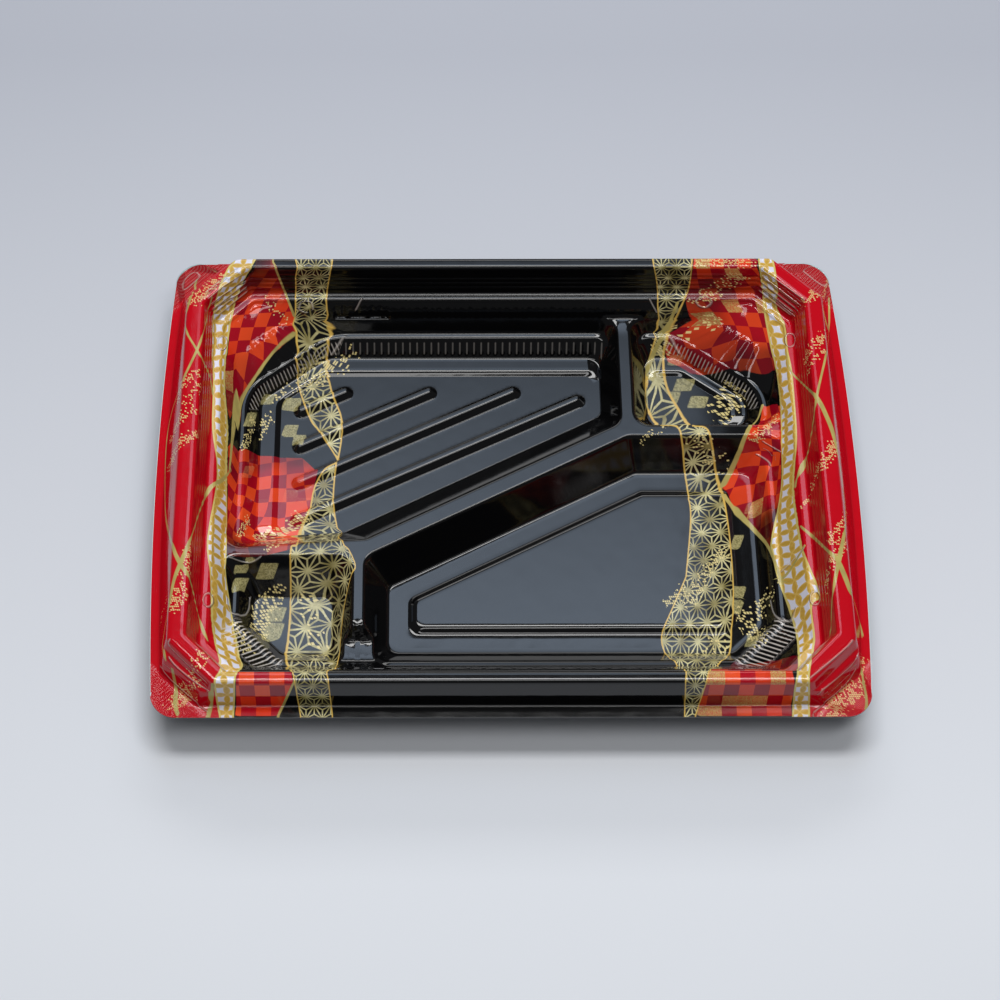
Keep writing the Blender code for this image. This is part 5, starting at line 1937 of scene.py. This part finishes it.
class TRAY_OT_build_film(bpy.types.Operator):
    """Builds the printed film: its pressed surface, its map and its print"""

    bl_idname = "tray.build_film"
    bl_label = "Build printed film"

    def execute(self, context):
        surface = tray_surface(FILM_FINENESS)
        mesh, carried = surface_mesh("printed_film_surface", surface)
        mesh.shade_smooth()
        lift_along_normals(mesh, FILM_LIFT)
        held = (np.abs(carried["spreads"]).sum(axis=1) > 0.0) | (carried["points"][:, 2] < HELD_DROP)
        start = film_coordinates(carried["points"], carried["spreads"])
        coordinates = settled_coordinates(mesh, start, held)
        chart = mesh.uv_layers.new(name=FILM_MAP)
        corners = np.zeros(len(mesh.loops), np.int32)
        mesh.loops.foreach_get("vertex_index", corners)
        shares = coordinates / np.array((FILM_SPAN_U, FILM_SPAN_V)) + 0.5
        chart.data.foreach_set("uv", shares[corners].astype(np.float32).ravel())
        draw_print(mesh, coordinates, carried["edges"][:, 0])
        phase, depth, _ = carried["flutes"].T
        add_number(mesh, "flute_phase", phase)
        add_number(mesh, "flute_depth", depth / MILLIMETRE)
        place, depth = carried["grooves"].T
        add_number(mesh, "groove_place", place / MILLIMETRE)
        add_number(mesh, "groove_depth", depth)
        add_number(mesh, "tab", corner_tabs(carried["points"]))
        lift_along_normals(mesh, carried["flutes"][:, 2:3])
        close_edge(mesh, -FILM_LIFT)
        film = new_piece("film", mesh, film_material(context.scene.tray_film))
        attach(film, "root")
        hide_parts("printed_film")
        return {"FINISHED"}


class TRAY_OT_build_sheet(bpy.types.Operator):
    """Builds the black sheet that lies under the film"""

    bl_idname = "tray.build_sheet"
    bl_label = "Build black sheet"

    def execute(self, context):
        surface = tray_surface(SHEET_FINENESS)
        mesh, carried = surface_mesh("black_sheet_surface", surface)
        lift_along_normals(mesh, -SHEET_DEPTH)
        mesh.flip_normals()
        mesh.shade_smooth()
        close_edge(mesh, SHEET_DEPTH)
        sheet = new_piece("sheet", mesh, sheet_material(context.scene.tray_sheet))
        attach(sheet, "root")
        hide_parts("tray_sheet")
        return {"FINISHED"}


class TRAY_OT_build_stage(bpy.types.Operator):
    """Builds the studio: floor, lamps and the photograph's camera"""

    bl_idname = "tray.build_stage"
    bl_label = "Build studio"

    def execute(self, context):
        looks = context.scene.tray_stage
        half = looks.floor_half
        mesh = bpy.data.meshes.new("floor")
        corners = [(-half, -half, 0), (half, -half, 0), (half, half, 0), (-half, half, 0)]
        mesh.from_pydata(corners, [], [(0, 1, 2, 3)])
        new_piece("floor", mesh, floor_material(looks))
        scene = context.scene
        scene.view_settings.view_transform = "Standard"
        world = bpy.data.worlds.new("studio")
        scene.world = world
        world.use_nodes = True
        surround = world.node_tree.nodes["Background"]
        surround.inputs["Color"].default_value = SURROUND_COLOR
        surround.inputs["Strength"].default_value = looks.surround
        area_lamp("overhead_lamp", KEY_PLACE, KEY_SIZE, KEY_COLOR, looks.key_power)
        area_lamp("far_lamp", FAR_PLACE, FAR_SIZE, KEY_COLOR, looks.far_power)
        area_lamp("front_lamp", FRONT_PLACE, FRONT_SIZE, KEY_COLOR, looks.front_power)
        fade_lamp(area_lamp("sheen_lamp", FILL_PLACE, FILL_SIZE, FILL_COLOR, looks.fill_power), *FILL_FADE)
        photo_camera()
        return {"FINISHED"}


class TRAY_PT_sidebar(bpy.types.Panel):
    """The tray's settings and its operators"""

    bl_label = "Compartment tray"
    bl_space_type = "VIEW_3D"
    bl_region_type = "UI"
    bl_category = "Tray"

    def draw(self, context):
        for looks, operator in (("tray_film", "film"), ("tray_sheet", "sheet"), ("tray_stage", "stage")):
            box = self.layout.box()
            group = getattr(context.scene, looks)
            for name in group.bl_rna.properties.keys():
                if name not in ("rna_type", "name"):
                    box.prop(group, name)
            box.operator("tray.build_" + operator)


CLASSES = (
    FilmLooks, SheetLooks, StageLooks,
    TRAY_OT_build_film, TRAY_OT_build_sheet, TRAY_OT_build_stage, TRAY_PT_sidebar,
)


def register():
    for each in CLASSES:
        bpy.utils.register_class(each)
    bpy.types.Scene.tray_film = bpy.props.PointerProperty(type=FilmLooks)
    bpy.types.Scene.tray_sheet = bpy.props.PointerProperty(type=SheetLooks)
    bpy.types.Scene.tray_stage = bpy.props.PointerProperty(type=StageLooks)


def unregister():
    del bpy.types.Scene.tray_stage
    del bpy.types.Scene.tray_sheet
    del bpy.types.Scene.tray_film
    for each in reversed(CLASSES):
        bpy.utils.unregister_class(each)


def main():
    register()
    bpy.ops.tray.build_film()
    bpy.ops.tray.build_sheet()
    bpy.ops.tray.build_stage()
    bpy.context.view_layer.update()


if __name__ == "__main__":
    main()
